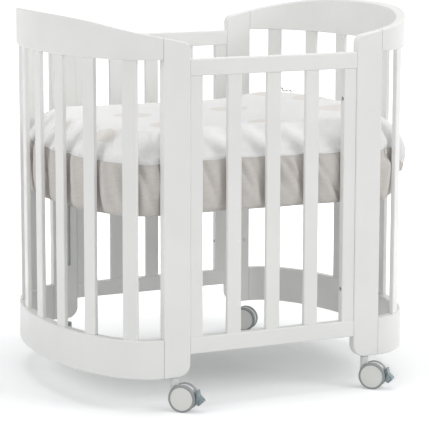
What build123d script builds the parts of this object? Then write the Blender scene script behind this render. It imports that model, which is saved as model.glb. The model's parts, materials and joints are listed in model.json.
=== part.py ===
from build123d import *
from math import atan2, cos, degrees, hypot, pi, radians, sin
import os

# A baby crib with two bowed ends, slatted sides, a height-adjustable mattress base and four
# twin-wheel casters. Lengths are in millimetres. X runs along the crib, Y across it with the
# front at -Y, and Z up. The origin is on the floor, under the middle of the crib.

# --- Wooden body -----------------------------------------------------------------------------
BODY_LENGTH = 850.0          # over the middles of the bowed ends
BODY_WIDTH = 670.0           # over the outer faces of the posts
FOOT_HEIGHT = 74.0           # floor to the underside of the wooden body
CROWN_HEIGHT = 846.0         # floor to the highest point of the bowed top rails
SEAM_HEIGHT = 806.0          # floor to the top of a bowed top rail where it meets its post
RAIL_LEVEL = 759.0           # top of the side panels and underside of the bowed top rails
LOWER_RAIL_TOP = 159.0       # top of every lower rail
BOARD_THICKNESS = 22.0       # posts and bowed rails
EDGE_ROUND = 3.0             # rounding of the board edges
SEAM_ROUND = 1.0             # rounding of the edges that meet in a joint

# --- Posts -----------------------------------------------------------------------------------
PANEL_LENGTH = 402.0         # clear distance between a left and a right post
POST_WIDTH = 62.0
POST_TOP_DROP = 13.0         # fall of a post's top from its seam to its inner edge
POST_TOP_RADIUS = 18.0
POST_FOOT_RADIUS = 28.0

# --- Slats -----------------------------------------------------------------------------------
SLAT_WIDTH = 34.0
SLAT_THICKNESS = 10.0
SLAT_ROUND = 2.5
MORTISE_DEPTH = 10.0
MORTISE_CLEARANCE = 0.1      # all round a slat end or tenon
END_SLAT_COUNT = 7
END_SLAT_POST_GAP = 52.0     # along the curve, from a post to the nearest slat
SIDE_SLAT_COUNT = 3

# --- Side panels -----------------------------------------------------------------------------
SIDE_RAIL_THICKNESS = 20.0
TOP_RAIL_DEPTH = 36.0
LOWER_RAIL_DEPTH = 37.0
STILE_WIDTH = 30.0
STILE_THICKNESS = 17.0
STILE_ROUND = 2.0
TENON_WIDTH = 18.0
TENON_THICKNESS = 8.0

# --- Panel bolts, barrel nuts and dowels ------------------------------------------------------
BOLT_HEIGHTS = (232.0, 657.0)
BOLT_RADIUS = 3.0
BOLT_HEAD_RADIUS = 5.0
BOLT_HEAD_LENGTH = 5.0
BOLT_HEAD_RECESS = 1.0       # bolt head below the stile's inner edge
BOLT_SOCKET_WIDTH = 5.0      # across the flats of the hexagon socket
BOLT_SOCKET_DEPTH = 3.0
BOLT_CLEARANCE = 0.2
BOLT_REACH = 46.0            # from the post's inner edge to the barrel nut's axis
BOLT_END_MARGIN = 4.0        # of the bolt past the barrel nut
BARREL_RADIUS = 5.0
BARREL_LENGTH = 15.0
BARREL_INSET = 1.5           # barrel nut below the post's inner face
DOWEL_RADIUS = 5.0
DOWEL_LENGTH = 32.0
DOWEL_END_GAP = 1.0
DOWEL_END_MARGIN = 13.0      # from a rail's top or bottom edge to a dowel axis

# --- Mattress base ---------------------------------------------------------------------------
BASE_UNDERSIDE = 422.0       # underside of the base board at its highest setting
BASE_THICKNESS = 12.0
BASE_ROUND = 2.0
VENT_RADIUS = 15.0
VENT_PITCH = 95.0
VENT_ROWS = 5
VENT_COLUMNS = 7
BRACKET_THICKNESS = 2.5
BRACKET_WIDTH = 24.0
BRACKET_DROP = 28.0          # height of the upright leaf
BRACKET_REACH = 58.0         # length of the flat leaf
BRACKET_POST_GAP = 0.4       # between the upright leaf and the post
SCREW_RADIUS = 2.0
SCREW_LENGTH = 10.0
SCREW_HEAD_RADIUS = 4.0
SCREW_HEAD_HEIGHT = 2.0
SCREW_SPACING = 18.0
SCREW_END_MARGIN = 10.0      # from the flat leaf's inner end to the first screw
BASE_TRAVEL = 190.0

# --- Height tracks in the posts ----------------------------------------------------------------
TRACK_OFFSET = 22.0          # from the post's inner edge to the track's middle
TRACK_WIDTH = 18.0
TRACK_DEPTH = 7.0
TRACK_LIP = 1.4
TRACK_MOUTH = 8.0
TRACK_WALL = 1.2
TRACK_END_MARGIN = 4.0       # of the track past the slider nut at each end of the travel
SLIDER_HEIGHT = 16.0
SLIDER_GAP = 0.3
KNOB_RADIUS = 9.0
KNOB_LENGTH = 9.0
KNOB_FLUTES = 12
KNOB_FLUTE_RADIUS = 1.2
KNOB_DROP = 15.0             # of the knob's axis below the base board

# --- Mattress and cover ------------------------------------------------------------------------
SOFT_GAP = 0.4               # between soft solids and what they rest on or lie beside
MATTRESS_INSET = 19.0        # mattress edge inside the bowed rails' inner faces
MATTRESS_THICKNESS = 120.0
MATTRESS_ROUND = 14.0
COVER_THICKNESS = 13.0
COVER_TOP_PADDING = 36.0
COVER_ROUND = 26.0
COVER_EDGE_DROP = 17.0       # from the mattress top down to the seam of cover and skirt
SKIRT_LIFT = 3.0             # of the skirt's lower edge above the base board's underside
STUD_RADIUS = 6.0
STUD_THICKNESS = 1.6
STUD_DROP = 8.0              # from the seam down to a stud
STUD_ANGLE = 75.0            # from the middle of an end, as the ellipse's parameter

# --- Wire hook on the rear slat of the right end ------------------------------------------------
HOOK_SLAT = 3                # slats from the middle of the end
HOOK_HEIGHT = 606.0
HOOK_WIRE_RADIUS = 1.1
HOOK_STANDOFF = 4.0
HOOK_DROP = 7.0
HOOK_SHANK = 8.0
HOOK_CURL = (                # past the shank and up from it, round the curl to the wire's end
    (6.0, 3.0),
    (14.0, 1.0),
    (13.0, -6.0),
    (7.0, -6.5),
)
HOOK_BEND_RADIUS = 2.0
HOOK_PEG_DEPTH = 6.0

# --- Casters -----------------------------------------------------------------------------------
WHEEL_RADIUS = 30.0
WHEEL_THICKNESS = 11.5
WHEEL_ROUND = 2.0
WHEEL_GAP = 11.0             # between the two wheels
WHEEL_FACE_RECESS = 1.0
WHEEL_RIM = 4.7
WHEEL_WEB = 2.5              # material left at the blind end of the axle bore
AXLE_RADIUS = 3.0
AXLE_END_GAP = 0.4
RUNNING_CLEARANCE = 0.05     # radial, on every shaft that turns
CASTER_TRAIL = 21.0          # from the swivel axis to the axle
HOUSING_THICKNESS = 9.8
HOOD_RADIUS = 29.0
HOOD_FLOOR = 18.0            # height of the hood's lower edge above the floor
NECK_RADIUS = 9.0
NECK_BOTTOM = 46.0
NECK_TOP_GAP = 1.0           # under the socket's flange
STEM_RADIUS = 5.0
STEM_BOTTOM = 56.0
STEM_REACH = 34.0            # into the post
SOCKET_RADIUS = 7.0
SOCKET_FLANGE_RADIUS = 9.0
SOCKET_FLANGE_THICKNESS = 1.5
SOCKET_END_MARGIN = 2.0
CASTER_OFFSET = 34.0         # from the post's inner edge to the swivel axis

# --- Brake pedals, on the front casters ----------------------------------------------------------
PEDAL_PIVOT = (22.0, 4.0)    # outwards and upwards from the axle
PEDAL_HUB_RADIUS = 5.0
PEDAL_HALF_WIDTH = 2.4
PEDAL_SLOT_HALF_WIDTH = 2.6
PEDAL_TREAD_HALF_WIDTH = 9.0
PEDAL_WHEEL_GAP = 1.6        # between the wide treads and the wheels
TRUNNION_RADIUS = 1.8
TRUNNION_END_GAP = 0.3
PEDAL_OUTLINE = (            # brake shoe, press tab and lift tab, outwards and upwards from the axle
    (24.0, -0.5),
    (30.0, -5.0),
    (31.5, -12.0),
    (37.0, -14.5),
    (47.0, -5.5),
    (46.5, -2.5),
    (36.5, 7.0),
    (34.5, 19.0),
    (30.5, 18.5),
    (24.0, 8.0),
)

# Where each caster stands, and how far it is swivelled at rest, in degrees.
CORNERS = {
    "front_left": (-1, -1, -44.0),
    "front_right": (1, -1, -44.0),
    "rear_left": (-1, 1, 64.0),
    "rear_right": (1, 1, -44.0),
}
BRAKED_CORNERS = ("front_left", "front_right")

# --- Values that follow from the sizes above -----------------------------------------------------
HALF_WIDTH = BODY_WIDTH / 2
POST_INNER_X = PANEL_LENGTH / 2
SEAM_X = POST_INNER_X + POST_WIDTH
END_BULGE = BODY_LENGTH / 2 - SEAM_X
BOARD_MIDDLE_Y = HALF_WIDTH - BOARD_THICKNESS / 2
POST_INNER_Y = HALF_WIDTH - BOARD_THICKNESS
MIDDLE_BULGE = END_BULGE - BOARD_THICKNESS / 2
STILE_INNER_X = POST_INNER_X - STILE_WIDTH
LOWER_RAIL_BOTTOM = LOWER_RAIL_TOP - LOWER_RAIL_DEPTH
TOP_RAIL_BOTTOM = RAIL_LEVEL - TOP_RAIL_DEPTH
BASE_TOP = BASE_UNDERSIDE + BASE_THICKNESS
MATTRESS_TOP = BASE_TOP + SOFT_GAP + MATTRESS_THICKNESS
COVER_INSET = MATTRESS_INSET - COVER_THICKNESS - SOFT_GAP
COVER_TOP = MATTRESS_TOP + COVER_TOP_PADDING
SKIRT_TOP = MATTRESS_TOP - COVER_EDGE_DROP
SKIRT_BOTTOM = BASE_UNDERSIDE + SKIRT_LIFT
KNOB_Z = BASE_UNDERSIDE - KNOB_DROP
TRACK_X = POST_INNER_X + TRACK_OFFSET
CASTER_X = POST_INNER_X + CASTER_OFFSET


def save(shape, node):
    """Write one node's STEP file."""
    export_step(shape, f"parts/{node}.step")


def group(solids):
    """Put separate solids into one node."""
    return Compound(children=list(solids))


def block(x_range, y_range, z_range):
    """A box given by its limits along each axis."""
    size = [high - low for low, high in (x_range, y_range, z_range)]
    centre = [(high + low) / 2 for low, high in (x_range, y_range, z_range)]
    return Pos(*centre) * Box(*size)


def rod_x(radius, x_from, x_to, y, z):
    """A cylinder along X."""
    rod = Cylinder(radius, x_to - x_from)
    return Pos((x_from + x_to) / 2, y, z) * Rot(0, 90, 0) * rod


def rod_y(radius, y_from, y_to, x, z):
    """A cylinder along Y."""
    rod = Cylinder(radius, y_to - y_from)
    return Pos(x, (y_from + y_to) / 2, z) * Rot(90, 0, 0) * rod


def rod_z(radius, z_from, z_to, x=0.0, y=0.0):
    """A cylinder along Z."""
    return Pos(x, y, (z_from + z_to) / 2) * Cylinder(radius, z_to - z_from)


def upright(profile, thickness, y_outer):
    """Stand a sketch of X and Z up, with its thickness running inwards from y_outer."""
    return Pos(0, y_outer, 0) * Rot(90, 0, 0) * extrude(profile, thickness)


def at_quadrant(shape, side_x, side_y):
    """Mirror a shape made at +X +Y to another quadrant."""
    if side_x < 0:
        shape = mirror(shape, about=Plane.YZ)
    if side_y < 0:
        shape = mirror(shape, about=Plane.XZ)
    return shape


def oval(inset):
    """The crib's plan: straight sides and elliptical ends, drawn inset from the inner faces."""
    semi_x = END_BULGE - BOARD_THICKNESS - inset
    semi_y = POST_INNER_Y - inset
    end = Ellipse(semi_x, semi_y)
    return Rectangle(2 * SEAM_X, 2 * semi_y) + Pos(SEAM_X, 0) * end + Pos(-SEAM_X, 0) * end


# --- Slats ---------------------------------------------------------------------------------------

def end_curve_point(angle):
    """The middle line of a bowed rail at one ellipse parameter."""
    return SEAM_X + MIDDLE_BULGE * cos(angle), BOARD_MIDDLE_Y * sin(angle)


def end_curve_lengths(steps=720):
    """Running arc length of the middle line from the middle of the end to a post."""
    lengths = [(0.0, 0.0)]
    previous = end_curve_point(0.0)
    for step in range(1, steps + 1):
        angle = pi / 2 * step / steps
        point = end_curve_point(angle)
        run = hypot(point[0] - previous[0], point[1] - previous[1])
        lengths.append((angle, lengths[-1][1] + run))
        previous = point
    return lengths


def end_slat_places():
    """X, Y and turn in degrees of each end slat, evenly spaced round the curve."""
    lengths = end_curve_lengths()
    middle = (END_SLAT_COUNT - 1) / 2
    pitch = (lengths[-1][1] - END_SLAT_POST_GAP - SLAT_WIDTH / 2) / middle
    places = []
    for index in range(END_SLAT_COUNT):
        offset = (index - middle) * pitch
        angle = next(angle for angle, length in lengths if length >= abs(offset))
        x, y = end_curve_point(angle)
        turn = degrees(atan2(MIDDLE_BULGE * sin(angle), BOARD_MIDDLE_Y * cos(angle)))
        sign = -1 if offset < 0 else 1
        places.append((x, sign * y, sign * turn))
    return places


def slat(bottom, top):
    """One flat slat with rounded long edges, standing at the origin and facing X."""
    height = top - bottom + 2 * MORTISE_DEPTH
    body = Box(SLAT_THICKNESS, SLAT_WIDTH, height)
    body = fillet(body.edges().filter_by(Axis.Z), SLAT_ROUND)
    return Pos(0, 0, (bottom + top) / 2) * body


def slat_mortise(z_face, into):
    """The pocket for a slat's end, cut from z_face upwards (into 1) or downwards (-1)."""
    depth = MORTISE_DEPTH + MORTISE_CLEARANCE
    pocket = Box(SLAT_THICKNESS + 2 * MORTISE_CLEARANCE, SLAT_WIDTH + 2 * MORTISE_CLEARANCE, depth)
    return Pos(0, 0, z_face + into * depth / 2) * pocket


def end_slats():
    """The slats of the right end."""
    one = slat(LOWER_RAIL_TOP, RAIL_LEVEL)
    return [Pos(x, y, 0) * Rot(0, 0, turn) * one for x, y, turn in end_slat_places()]


def side_slat_places():
    """X of each slat of a side panel, with equal gaps between the stiles."""
    opening = 2 * STILE_INNER_X
    gap = (opening - SIDE_SLAT_COUNT * SLAT_WIDTH) / (SIDE_SLAT_COUNT + 1)
    pitch = SLAT_WIDTH + gap
    return [(index - (SIDE_SLAT_COUNT - 1) / 2) * pitch for index in range(SIDE_SLAT_COUNT)]


def side_slats():
    """The slats of the rear panel."""
    one = Rot(0, 0, 90) * slat(LOWER_RAIL_TOP, TOP_RAIL_BOTTOM)
    return [Pos(x, BOARD_MIDDLE_Y, 0) * one for x in side_slat_places()]


# --- Bowed end rails -----------------------------------------------------------------------------

def end_ring():
    """Plan of a bowed rail of the right end."""
    outer = Ellipse(END_BULGE, HALF_WIDTH)
    inner = Ellipse(END_BULGE - BOARD_THICKNESS, POST_INNER_Y)
    beyond_seam = Pos(BODY_LENGTH / 2, 0) * Rectangle(BODY_LENGTH, BODY_LENGTH)
    return Pos(SEAM_X, 0) * ((outer - inner) & beyond_seam)


def dowel_heights(bottom, top):
    """Heights of the two dowels in a joint."""
    return bottom + DOWEL_END_MARGIN, top - DOWEL_END_MARGIN


def joint_dowels(bottom, top, slack=0.0):
    """The dowels between a right-hand bowed rail and its rear post, or the holes for them."""
    half_length = DOWEL_LENGTH / 2 + slack
    x_range = (SEAM_X - half_length, SEAM_X + half_length)
    return [rod_x(DOWEL_RADIUS, *x_range, BOARD_MIDDLE_Y, z) for z in dowel_heights(bottom, top)]


def bored_for_dowels(shape, bottom, top):
    """Cut the dowel holes of both joints of a bowed rail."""
    for hole in joint_dowels(bottom, top, DOWEL_END_GAP):
        shape = shape - hole - mirror(hole, about=Plane.XZ)
    return shape


def rounded(board, end_faces):
    """Round a board's edges, less at the end faces that meet another board."""
    ends = end_faces(board)
    at_ends = ends.edges()
    board = fillet([edge for edge in board.edges() if edge not in at_ends], EDGE_ROUND)
    return fillet(end_faces(board).edges(), SEAM_ROUND)


def faces_across_x(board):
    """The flat faces of a board that lie across the X axis."""
    return board.faces().filter_by(Plane.YZ)


def end_lower_rail():
    """The bowed lower rail of the right end."""
    rail = Pos(0, 0, FOOT_HEIGHT) * extrude(end_ring(), LOWER_RAIL_TOP - FOOT_HEIGHT)
    rail = rounded(rail, faces_across_x)
    for x, y, turn in end_slat_places():
        rail -= Pos(x, y, 0) * Rot(0, 0, turn) * slat_mortise(LOWER_RAIL_TOP, -1)
    return bored_for_dowels(rail, FOOT_HEIGHT, LOWER_RAIL_TOP)


def end_top_profile():
    """Side view of a bowed top rail: a level underside and a top that swoops up to the crown."""
    crown_x = SEAM_X + END_BULGE
    rise = CROWN_HEIGHT - SEAM_HEIGHT
    middle = (SEAM_X + 0.5 * END_BULGE, SEAM_HEIGHT + 0.48 * rise)
    post_slope = POST_TOP_DROP / POST_WIDTH
    swoop = Spline(
        (SEAM_X, SEAM_HEIGHT),
        middle,
        (crown_x, CROWN_HEIGHT),
        tangents=((1.0, post_slope), (1.0, 0.12)),
    )
    sides = Polyline(
        (crown_x, CROWN_HEIGHT),
        (crown_x, RAIL_LEVEL),
        (SEAM_X, RAIL_LEVEL),
        (SEAM_X, SEAM_HEIGHT),
    )
    return make_face([*swoop.edges(), *sides.edges()])


def end_top_rail():
    """The bowed top rail of the right end."""
    ring = Pos(0, 0, RAIL_LEVEL) * extrude(end_ring(), CROWN_HEIGHT - RAIL_LEVEL)
    rail = ring & upright(end_top_profile(), BODY_WIDTH, HALF_WIDTH)
    rail = rounded(rail, faces_across_x)
    for x, y, turn in end_slat_places():
        rail -= Pos(x, y, 0) * Rot(0, 0, turn) * slat_mortise(RAIL_LEVEL, 1)
    return bored_for_dowels(rail, RAIL_LEVEL, SEAM_HEIGHT)


# --- Posts ---------------------------------------------------------------------------------------

def post_profile():
    """Front view of the right-hand post: sloped top and rounded inner corners."""
    outline = Polygon(
        (POST_INNER_X, FOOT_HEIGHT),
        (SEAM_X, FOOT_HEIGHT),
        (SEAM_X, SEAM_HEIGHT),
        (POST_INNER_X, SEAM_HEIGHT - POST_TOP_DROP),
        align=None,
    )
    foot = outline.vertices().group_by(Axis.X)[0].sort_by(Axis.Y)[0]
    outline = fillet(foot, POST_FOOT_RADIUS)
    top = outline.vertices().group_by(Axis.X)[0].sort_by(Axis.Y)[-1]
    return fillet(top, POST_TOP_RADIUS)


def track_span():
    """Lowest and highest ends of a height track."""
    margin = SLIDER_HEIGHT / 2 + TRACK_END_MARGIN
    return KNOB_Z - BASE_TRAVEL - margin, KNOB_Z + margin


def post():
    """The rear right-hand post, with every hole that its fasteners and fittings need."""
    board = upright(post_profile(), BOARD_THICKNESS, HALF_WIDTH)
    rims = [edge for face in board.faces().filter_by(Plane.XZ) for edge in face.edges()]
    seam = board.faces().sort_by(Axis.X)[-1].edges()
    board = fillet([edge for edge in rims if edge not in seam], EDGE_ROUND)
    board = fillet(board.faces().sort_by(Axis.X)[-1].edges(), SEAM_ROUND)
    for span in ((FOOT_HEIGHT, LOWER_RAIL_TOP), (RAIL_LEVEL, SEAM_HEIGHT)):
        for hole in joint_dowels(*span, DOWEL_END_GAP):
            board -= hole
    for z in BOLT_HEIGHTS:
        bolt_end = POST_INNER_X + BOLT_REACH + BOLT_END_MARGIN + BOLT_CLEARANCE
        bolt_hole = BOLT_RADIUS + BOLT_CLEARANCE
        board -= rod_x(bolt_hole, POST_INNER_X, bolt_end, BOARD_MIDDLE_Y, z)
        barrel_end = POST_INNER_Y + BARREL_INSET + BARREL_LENGTH
        board -= rod_y(BARREL_RADIUS, POST_INNER_Y, barrel_end, POST_INNER_X + BOLT_REACH, z)
    socket_top = FOOT_HEIGHT + STEM_REACH + SOCKET_END_MARGIN
    board -= rod_z(SOCKET_RADIUS, FOOT_HEIGHT, socket_top, CASTER_X, BOARD_MIDDLE_Y)
    half = TRACK_WIDTH / 2
    groove_y = (POST_INNER_Y, POST_INNER_Y + TRACK_DEPTH)
    return board - block((TRACK_X - half, TRACK_X + half), groove_y, track_span())


# --- Side panels ---------------------------------------------------------------------------------

def stile_tenon(z_face, into, slack=0.0):
    """A stile's tenon at z_face, or its mortise when slack is given."""
    x = (STILE_INNER_X + POST_INNER_X) / 2
    half_width = TENON_WIDTH / 2 + slack
    half_thickness = TENON_THICKNESS / 2 + slack
    tip = z_face + into * (MORTISE_DEPTH + slack)
    return block(
        (x - half_width, x + half_width),
        (BOARD_MIDDLE_Y - half_thickness, BOARD_MIDDLE_Y + half_thickness),
        (min(z_face, tip), max(z_face, tip)),
    )


def side_rail(bottom, top, slat_face, into):
    """One straight rail of the rear panel, with the mortises for its slats and stiles."""
    half = SIDE_RAIL_THICKNESS / 2
    y_range = (BOARD_MIDDLE_Y - half, BOARD_MIDDLE_Y + half)
    rail = block((-POST_INNER_X, POST_INNER_X), y_range, (bottom, top))
    rail = rounded(rail, faces_across_x)
    for x in side_slat_places():
        rail -= Pos(x, BOARD_MIDDLE_Y, 0) * Rot(0, 0, 90) * slat_mortise(slat_face, into)
    mortise = stile_tenon(slat_face, into, MORTISE_CLEARANCE)
    return rail - mortise - mirror(mortise, about=Plane.YZ)


def stile():
    """The right-hand stile of the rear panel, bored for its two bolts."""
    half = STILE_THICKNESS / 2
    y_range = (BOARD_MIDDLE_Y - half, BOARD_MIDDLE_Y + half)
    body = block((STILE_INNER_X, POST_INNER_X), y_range, (LOWER_RAIL_TOP, TOP_RAIL_BOTTOM))
    body = fillet(body.edges().filter_by(Axis.Z), STILE_ROUND)
    body += stile_tenon(LOWER_RAIL_TOP, -1) + stile_tenon(TOP_RAIL_BOTTOM, 1)
    for z in BOLT_HEIGHTS:
        body -= rod_x(BOLT_RADIUS + BOLT_CLEARANCE, STILE_INNER_X, POST_INNER_X, BOARD_MIDDLE_Y, z)
        seat = STILE_INNER_X + BOLT_HEAD_RECESS + BOLT_HEAD_LENGTH
        body -= rod_x(BOLT_HEAD_RADIUS + BOLT_CLEARANCE, STILE_INNER_X, seat, BOARD_MIDDLE_Y, z)
    return body


def panel_bolt(z):
    """A socket-head bolt from the right-hand stile into the rear post, pointing outwards."""
    head_from = STILE_INNER_X + BOLT_HEAD_RECESS
    head_to = head_from + BOLT_HEAD_LENGTH
    end = POST_INNER_X + BOLT_REACH + BOLT_END_MARGIN
    bolt = rod_x(BOLT_HEAD_RADIUS, head_from, head_to, BOARD_MIDDLE_Y, z)
    bolt += rod_x(BOLT_RADIUS, head_to, end, BOARD_MIDDLE_Y, z)
    hexagon = RegularPolygon(BOLT_SOCKET_WIDTH / 2, 6, major_radius=False)
    key = Rot(0, 90, 0) * extrude(hexagon, BOLT_SOCKET_DEPTH)
    return bolt - Pos(head_from, BOARD_MIDDLE_Y, z) * key


def barrel_nut(z):
    """The barrel nut in the rear right-hand post."""
    x = POST_INNER_X + BOLT_REACH
    low = POST_INNER_Y + BARREL_INSET
    nut = rod_y(BARREL_RADIUS, low, low + BARREL_LENGTH, x, z)
    return nut - rod_x(BOLT_RADIUS, x - BARREL_RADIUS, x + BARREL_RADIUS, BOARD_MIDDLE_Y, z)


# --- Mattress base -------------------------------------------------------------------------------

def base_board():
    """The oval board under the mattress, with rows of air holes."""
    board = Pos(0, 0, BASE_UNDERSIDE) * extrude(oval(MATTRESS_INSET), BASE_THICKNESS)
    rims = board.faces().sort_by(Axis.Z)
    board = fillet([*rims[0].edges(), *rims[-1].edges()], BASE_ROUND)
    for place in GridLocations(VENT_PITCH, VENT_PITCH, VENT_COLUMNS, VENT_ROWS):
        board -= place * rod_z(VENT_RADIUS, BASE_UNDERSIDE, BASE_TOP)
    for place in screw_places():
        for side_x in (-1, 1):
            for side_y in (-1, 1):
                top = BASE_UNDERSIDE + SCREW_LENGTH - BRACKET_THICKNESS
                board -= rod_z(SCREW_RADIUS, BASE_UNDERSIDE, top, side_x * place[0], side_y * place[1])
    return board


def screw_places():
    """The two screws of the rear right-hand bracket."""
    leaf_end = POST_INNER_Y - BRACKET_POST_GAP - BRACKET_REACH
    first = leaf_end + SCREW_END_MARGIN
    return ((TRACK_X, first), (TRACK_X, first + SCREW_SPACING))


def base_bracket():
    """The rear right-hand angle bracket, bored for its screws and knob bolt."""
    half = BRACKET_WIDTH / 2
    x_range = (TRACK_X - half, TRACK_X + half)
    back = POST_INNER_Y - BRACKET_POST_GAP
    leaf_z = (BASE_UNDERSIDE - BRACKET_DROP, BASE_UNDERSIDE)
    flat_z = (BASE_UNDERSIDE - BRACKET_THICKNESS, BASE_UNDERSIDE)
    bracket = block(x_range, (back - BRACKET_THICKNESS, back), leaf_z)
    bracket += block(x_range, (back - BRACKET_REACH, back), flat_z)
    bracket -= rod_y(BOLT_RADIUS + BOLT_CLEARANCE, back - BRACKET_THICKNESS, back, TRACK_X, KNOB_Z)
    for x, y in screw_places():
        bracket -= rod_z(SCREW_RADIUS, *flat_z, x, y)
    return bracket


def bracket_screw(place):
    """A screw up through the bracket into the base board."""
    under = BASE_UNDERSIDE - BRACKET_THICKNESS
    screw = rod_z(SCREW_RADIUS, under, under + SCREW_LENGTH, *place)
    return screw + rod_z(SCREW_HEAD_RADIUS, under - SCREW_HEAD_HEIGHT, under, *place)


def slider_back():
    """Y of the slider nut's far face inside the track."""
    return POST_INNER_Y + TRACK_DEPTH - TRACK_WALL - SLIDER_GAP


def height_knob():
    """The rear right-hand knob bolt that clamps the bracket to the track."""
    knob_outer = POST_INNER_Y - BRACKET_POST_GAP - BRACKET_THICKNESS
    knob_inner = knob_outer - KNOB_LENGTH
    knob = rod_y(KNOB_RADIUS, knob_inner, knob_outer, TRACK_X, KNOB_Z)
    for index in range(KNOB_FLUTES):
        angle = radians(360 * index / KNOB_FLUTES)
        flute_x = TRACK_X + KNOB_RADIUS * cos(angle)
        flute_z = KNOB_Z + KNOB_RADIUS * sin(angle)
        knob -= rod_y(KNOB_FLUTE_RADIUS, knob_inner, knob_outer, flute_x, flute_z)
    return knob + rod_y(BOLT_RADIUS, knob_outer, slider_back(), TRACK_X, KNOB_Z)


def slider_nut():
    """The nut that runs in the rear right-hand track."""
    half = TRACK_WIDTH / 2 - TRACK_WALL - SLIDER_GAP
    y_range = (POST_INNER_Y + TRACK_LIP + SLIDER_GAP, slider_back())
    z_range = (KNOB_Z - SLIDER_HEIGHT / 2, KNOB_Z + SLIDER_HEIGHT / 2)
    nut = block((TRACK_X - half, TRACK_X + half), y_range, z_range)
    return nut - rod_y(BOLT_RADIUS, *y_range, TRACK_X, KNOB_Z)


def height_track():
    """The slotted track let into the rear right-hand post, flush with its inner face."""
    half = TRACK_WIDTH / 2
    face = POST_INNER_Y
    back = face + TRACK_DEPTH
    cavity = half - TRACK_WALL
    track = block((TRACK_X - half, TRACK_X + half), (face, back), track_span())
    track -= block((TRACK_X - cavity, TRACK_X + cavity), (face + TRACK_LIP, back - TRACK_WALL), track_span())
    mouth = TRACK_MOUTH / 2
    return track - block((TRACK_X - mouth, TRACK_X + mouth), (face, face + TRACK_LIP), track_span())


# --- Mattress and cover ----------------------------------------------------------------------------

def mattress():
    """The oval mattress on the base board."""
    body = Pos(0, 0, BASE_TOP + SOFT_GAP) * extrude(oval(MATTRESS_INSET), MATTRESS_THICKNESS)
    return fillet(body.faces().sort_by(Axis.Z)[-1].edges(), MATTRESS_ROUND)


def cover_top():
    """The padded top of the cover, open underneath for the mattress."""
    body = Pos(0, 0, SKIRT_TOP) * extrude(oval(COVER_INSET), COVER_TOP - SKIRT_TOP)
    body = fillet(body.faces().sort_by(Axis.Z)[-1].edges(), COVER_ROUND)
    inside = oval(MATTRESS_INSET - SOFT_GAP)
    return body - Pos(0, 0, SKIRT_TOP) * extrude(inside, MATTRESS_TOP + SOFT_GAP - SKIRT_TOP)


def cover_skirt():
    """The skirt sewn to the cover's edge, hanging down round the mattress."""
    ring = oval(COVER_INSET) - oval(MATTRESS_INSET - SOFT_GAP)
    return Pos(0, 0, SKIRT_BOTTOM) * extrude(ring, SKIRT_TOP - SKIRT_BOTTOM)


def press_stud():
    """A press stud on the skirt of the right end, near the rear post."""
    semi_x = END_BULGE - BOARD_THICKNESS - COVER_INSET
    semi_y = POST_INNER_Y - COVER_INSET
    angle = radians(STUD_ANGLE)
    x = SEAM_X + semi_x * cos(angle)
    y = semi_y * sin(angle)
    turn = degrees(atan2(semi_x * sin(angle), semi_y * cos(angle)))
    stud = fillet(Cylinder(STUD_RADIUS, STUD_THICKNESS).edges().sort_by(Axis.Z)[-1], STUD_THICKNESS / 2)
    stud = Pos(0, 0, STUD_THICKNESS / 2 + SOFT_GAP) * stud
    return Pos(x, y, SKIRT_TOP - STUD_DROP) * Rot(0, 0, turn) * Rot(0, 90, 0) * stud


# --- Wire hook -------------------------------------------------------------------------------------

def hook_slat_place():
    """Place of the slat that carries the hook."""
    x, y, turn = end_slat_places()[(END_SLAT_COUNT - 1) // 2 + HOOK_SLAT]
    return Pos(x, y, HOOK_HEIGHT) * Rot(0, 0, turn)


def wire_hook():
    """A bent wire hook pegged into the slat's edge, made in the slat's own frame first."""
    edge = -SLAT_WIDTH / 2
    out = edge - HOOK_STANDOFF
    shank_end = out - HOOK_SHANK
    path = FilletPolyline(
        (0, edge + HOOK_PEG_DEPTH, HOOK_DROP),
        (0, out, HOOK_DROP),
        (0, out, 0),
        (0, shank_end, 0),
        *[(0, shank_end - past, up) for past, up in HOOK_CURL],
        radius=HOOK_BEND_RADIUS,
    )
    start = Plane(origin=path @ 0, z_dir=path % 0)
    return hook_slat_place() * sweep(start * Circle(HOOK_WIRE_RADIUS), path=path)


def hook_hole():
    """The hole for the hook's peg, in the same slat."""
    edge = -SLAT_WIDTH / 2
    return hook_slat_place() * rod_y(HOOK_WIRE_RADIUS, edge, edge + HOOK_PEG_DEPTH, 0, HOOK_DROP)


# --- Casters: made with the swivel axis at the origin, the wheels trailing towards +X ---------------

def wheel(side):
    """One of the twin wheels, with a rimmed face outside and a blind bore inside."""
    inner = WHEEL_GAP / 2
    outer = inner + WHEEL_THICKNESS
    body = fillet(Cylinder(WHEEL_RADIUS, WHEEL_THICKNESS).edges(), WHEEL_ROUND)
    body = Pos(CASTER_TRAIL, inner + WHEEL_THICKNESS / 2, WHEEL_RADIUS) * Rot(90, 0, 0) * body
    face_radius = WHEEL_RADIUS - WHEEL_RIM
    body -= rod_y(face_radius, outer - WHEEL_FACE_RECESS, outer, CASTER_TRAIL, WHEEL_RADIUS)
    bore = AXLE_RADIUS + RUNNING_CLEARANCE
    body -= rod_y(bore, inner, outer - WHEEL_WEB, CASTER_TRAIL, WHEEL_RADIUS)
    return body if side > 0 else mirror(body, about=Plane.XZ)


def axle():
    """The axle pressed through the housing."""
    half = WHEEL_GAP / 2 + WHEEL_THICKNESS - WHEEL_WEB - AXLE_END_GAP
    return rod_y(AXLE_RADIUS, -half, half, CASTER_TRAIL, WHEEL_RADIUS)


def neck_top():
    """Top of the housing's neck, just under the socket's flange."""
    return FOOT_HEIGHT - SOCKET_FLANGE_THICKNESS - NECK_TOP_GAP


def pedal_pivot():
    """X and Z of the pedal's pivot."""
    return CASTER_TRAIL + PEDAL_PIVOT[0], WHEEL_RADIUS + PEDAL_PIVOT[1]


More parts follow.
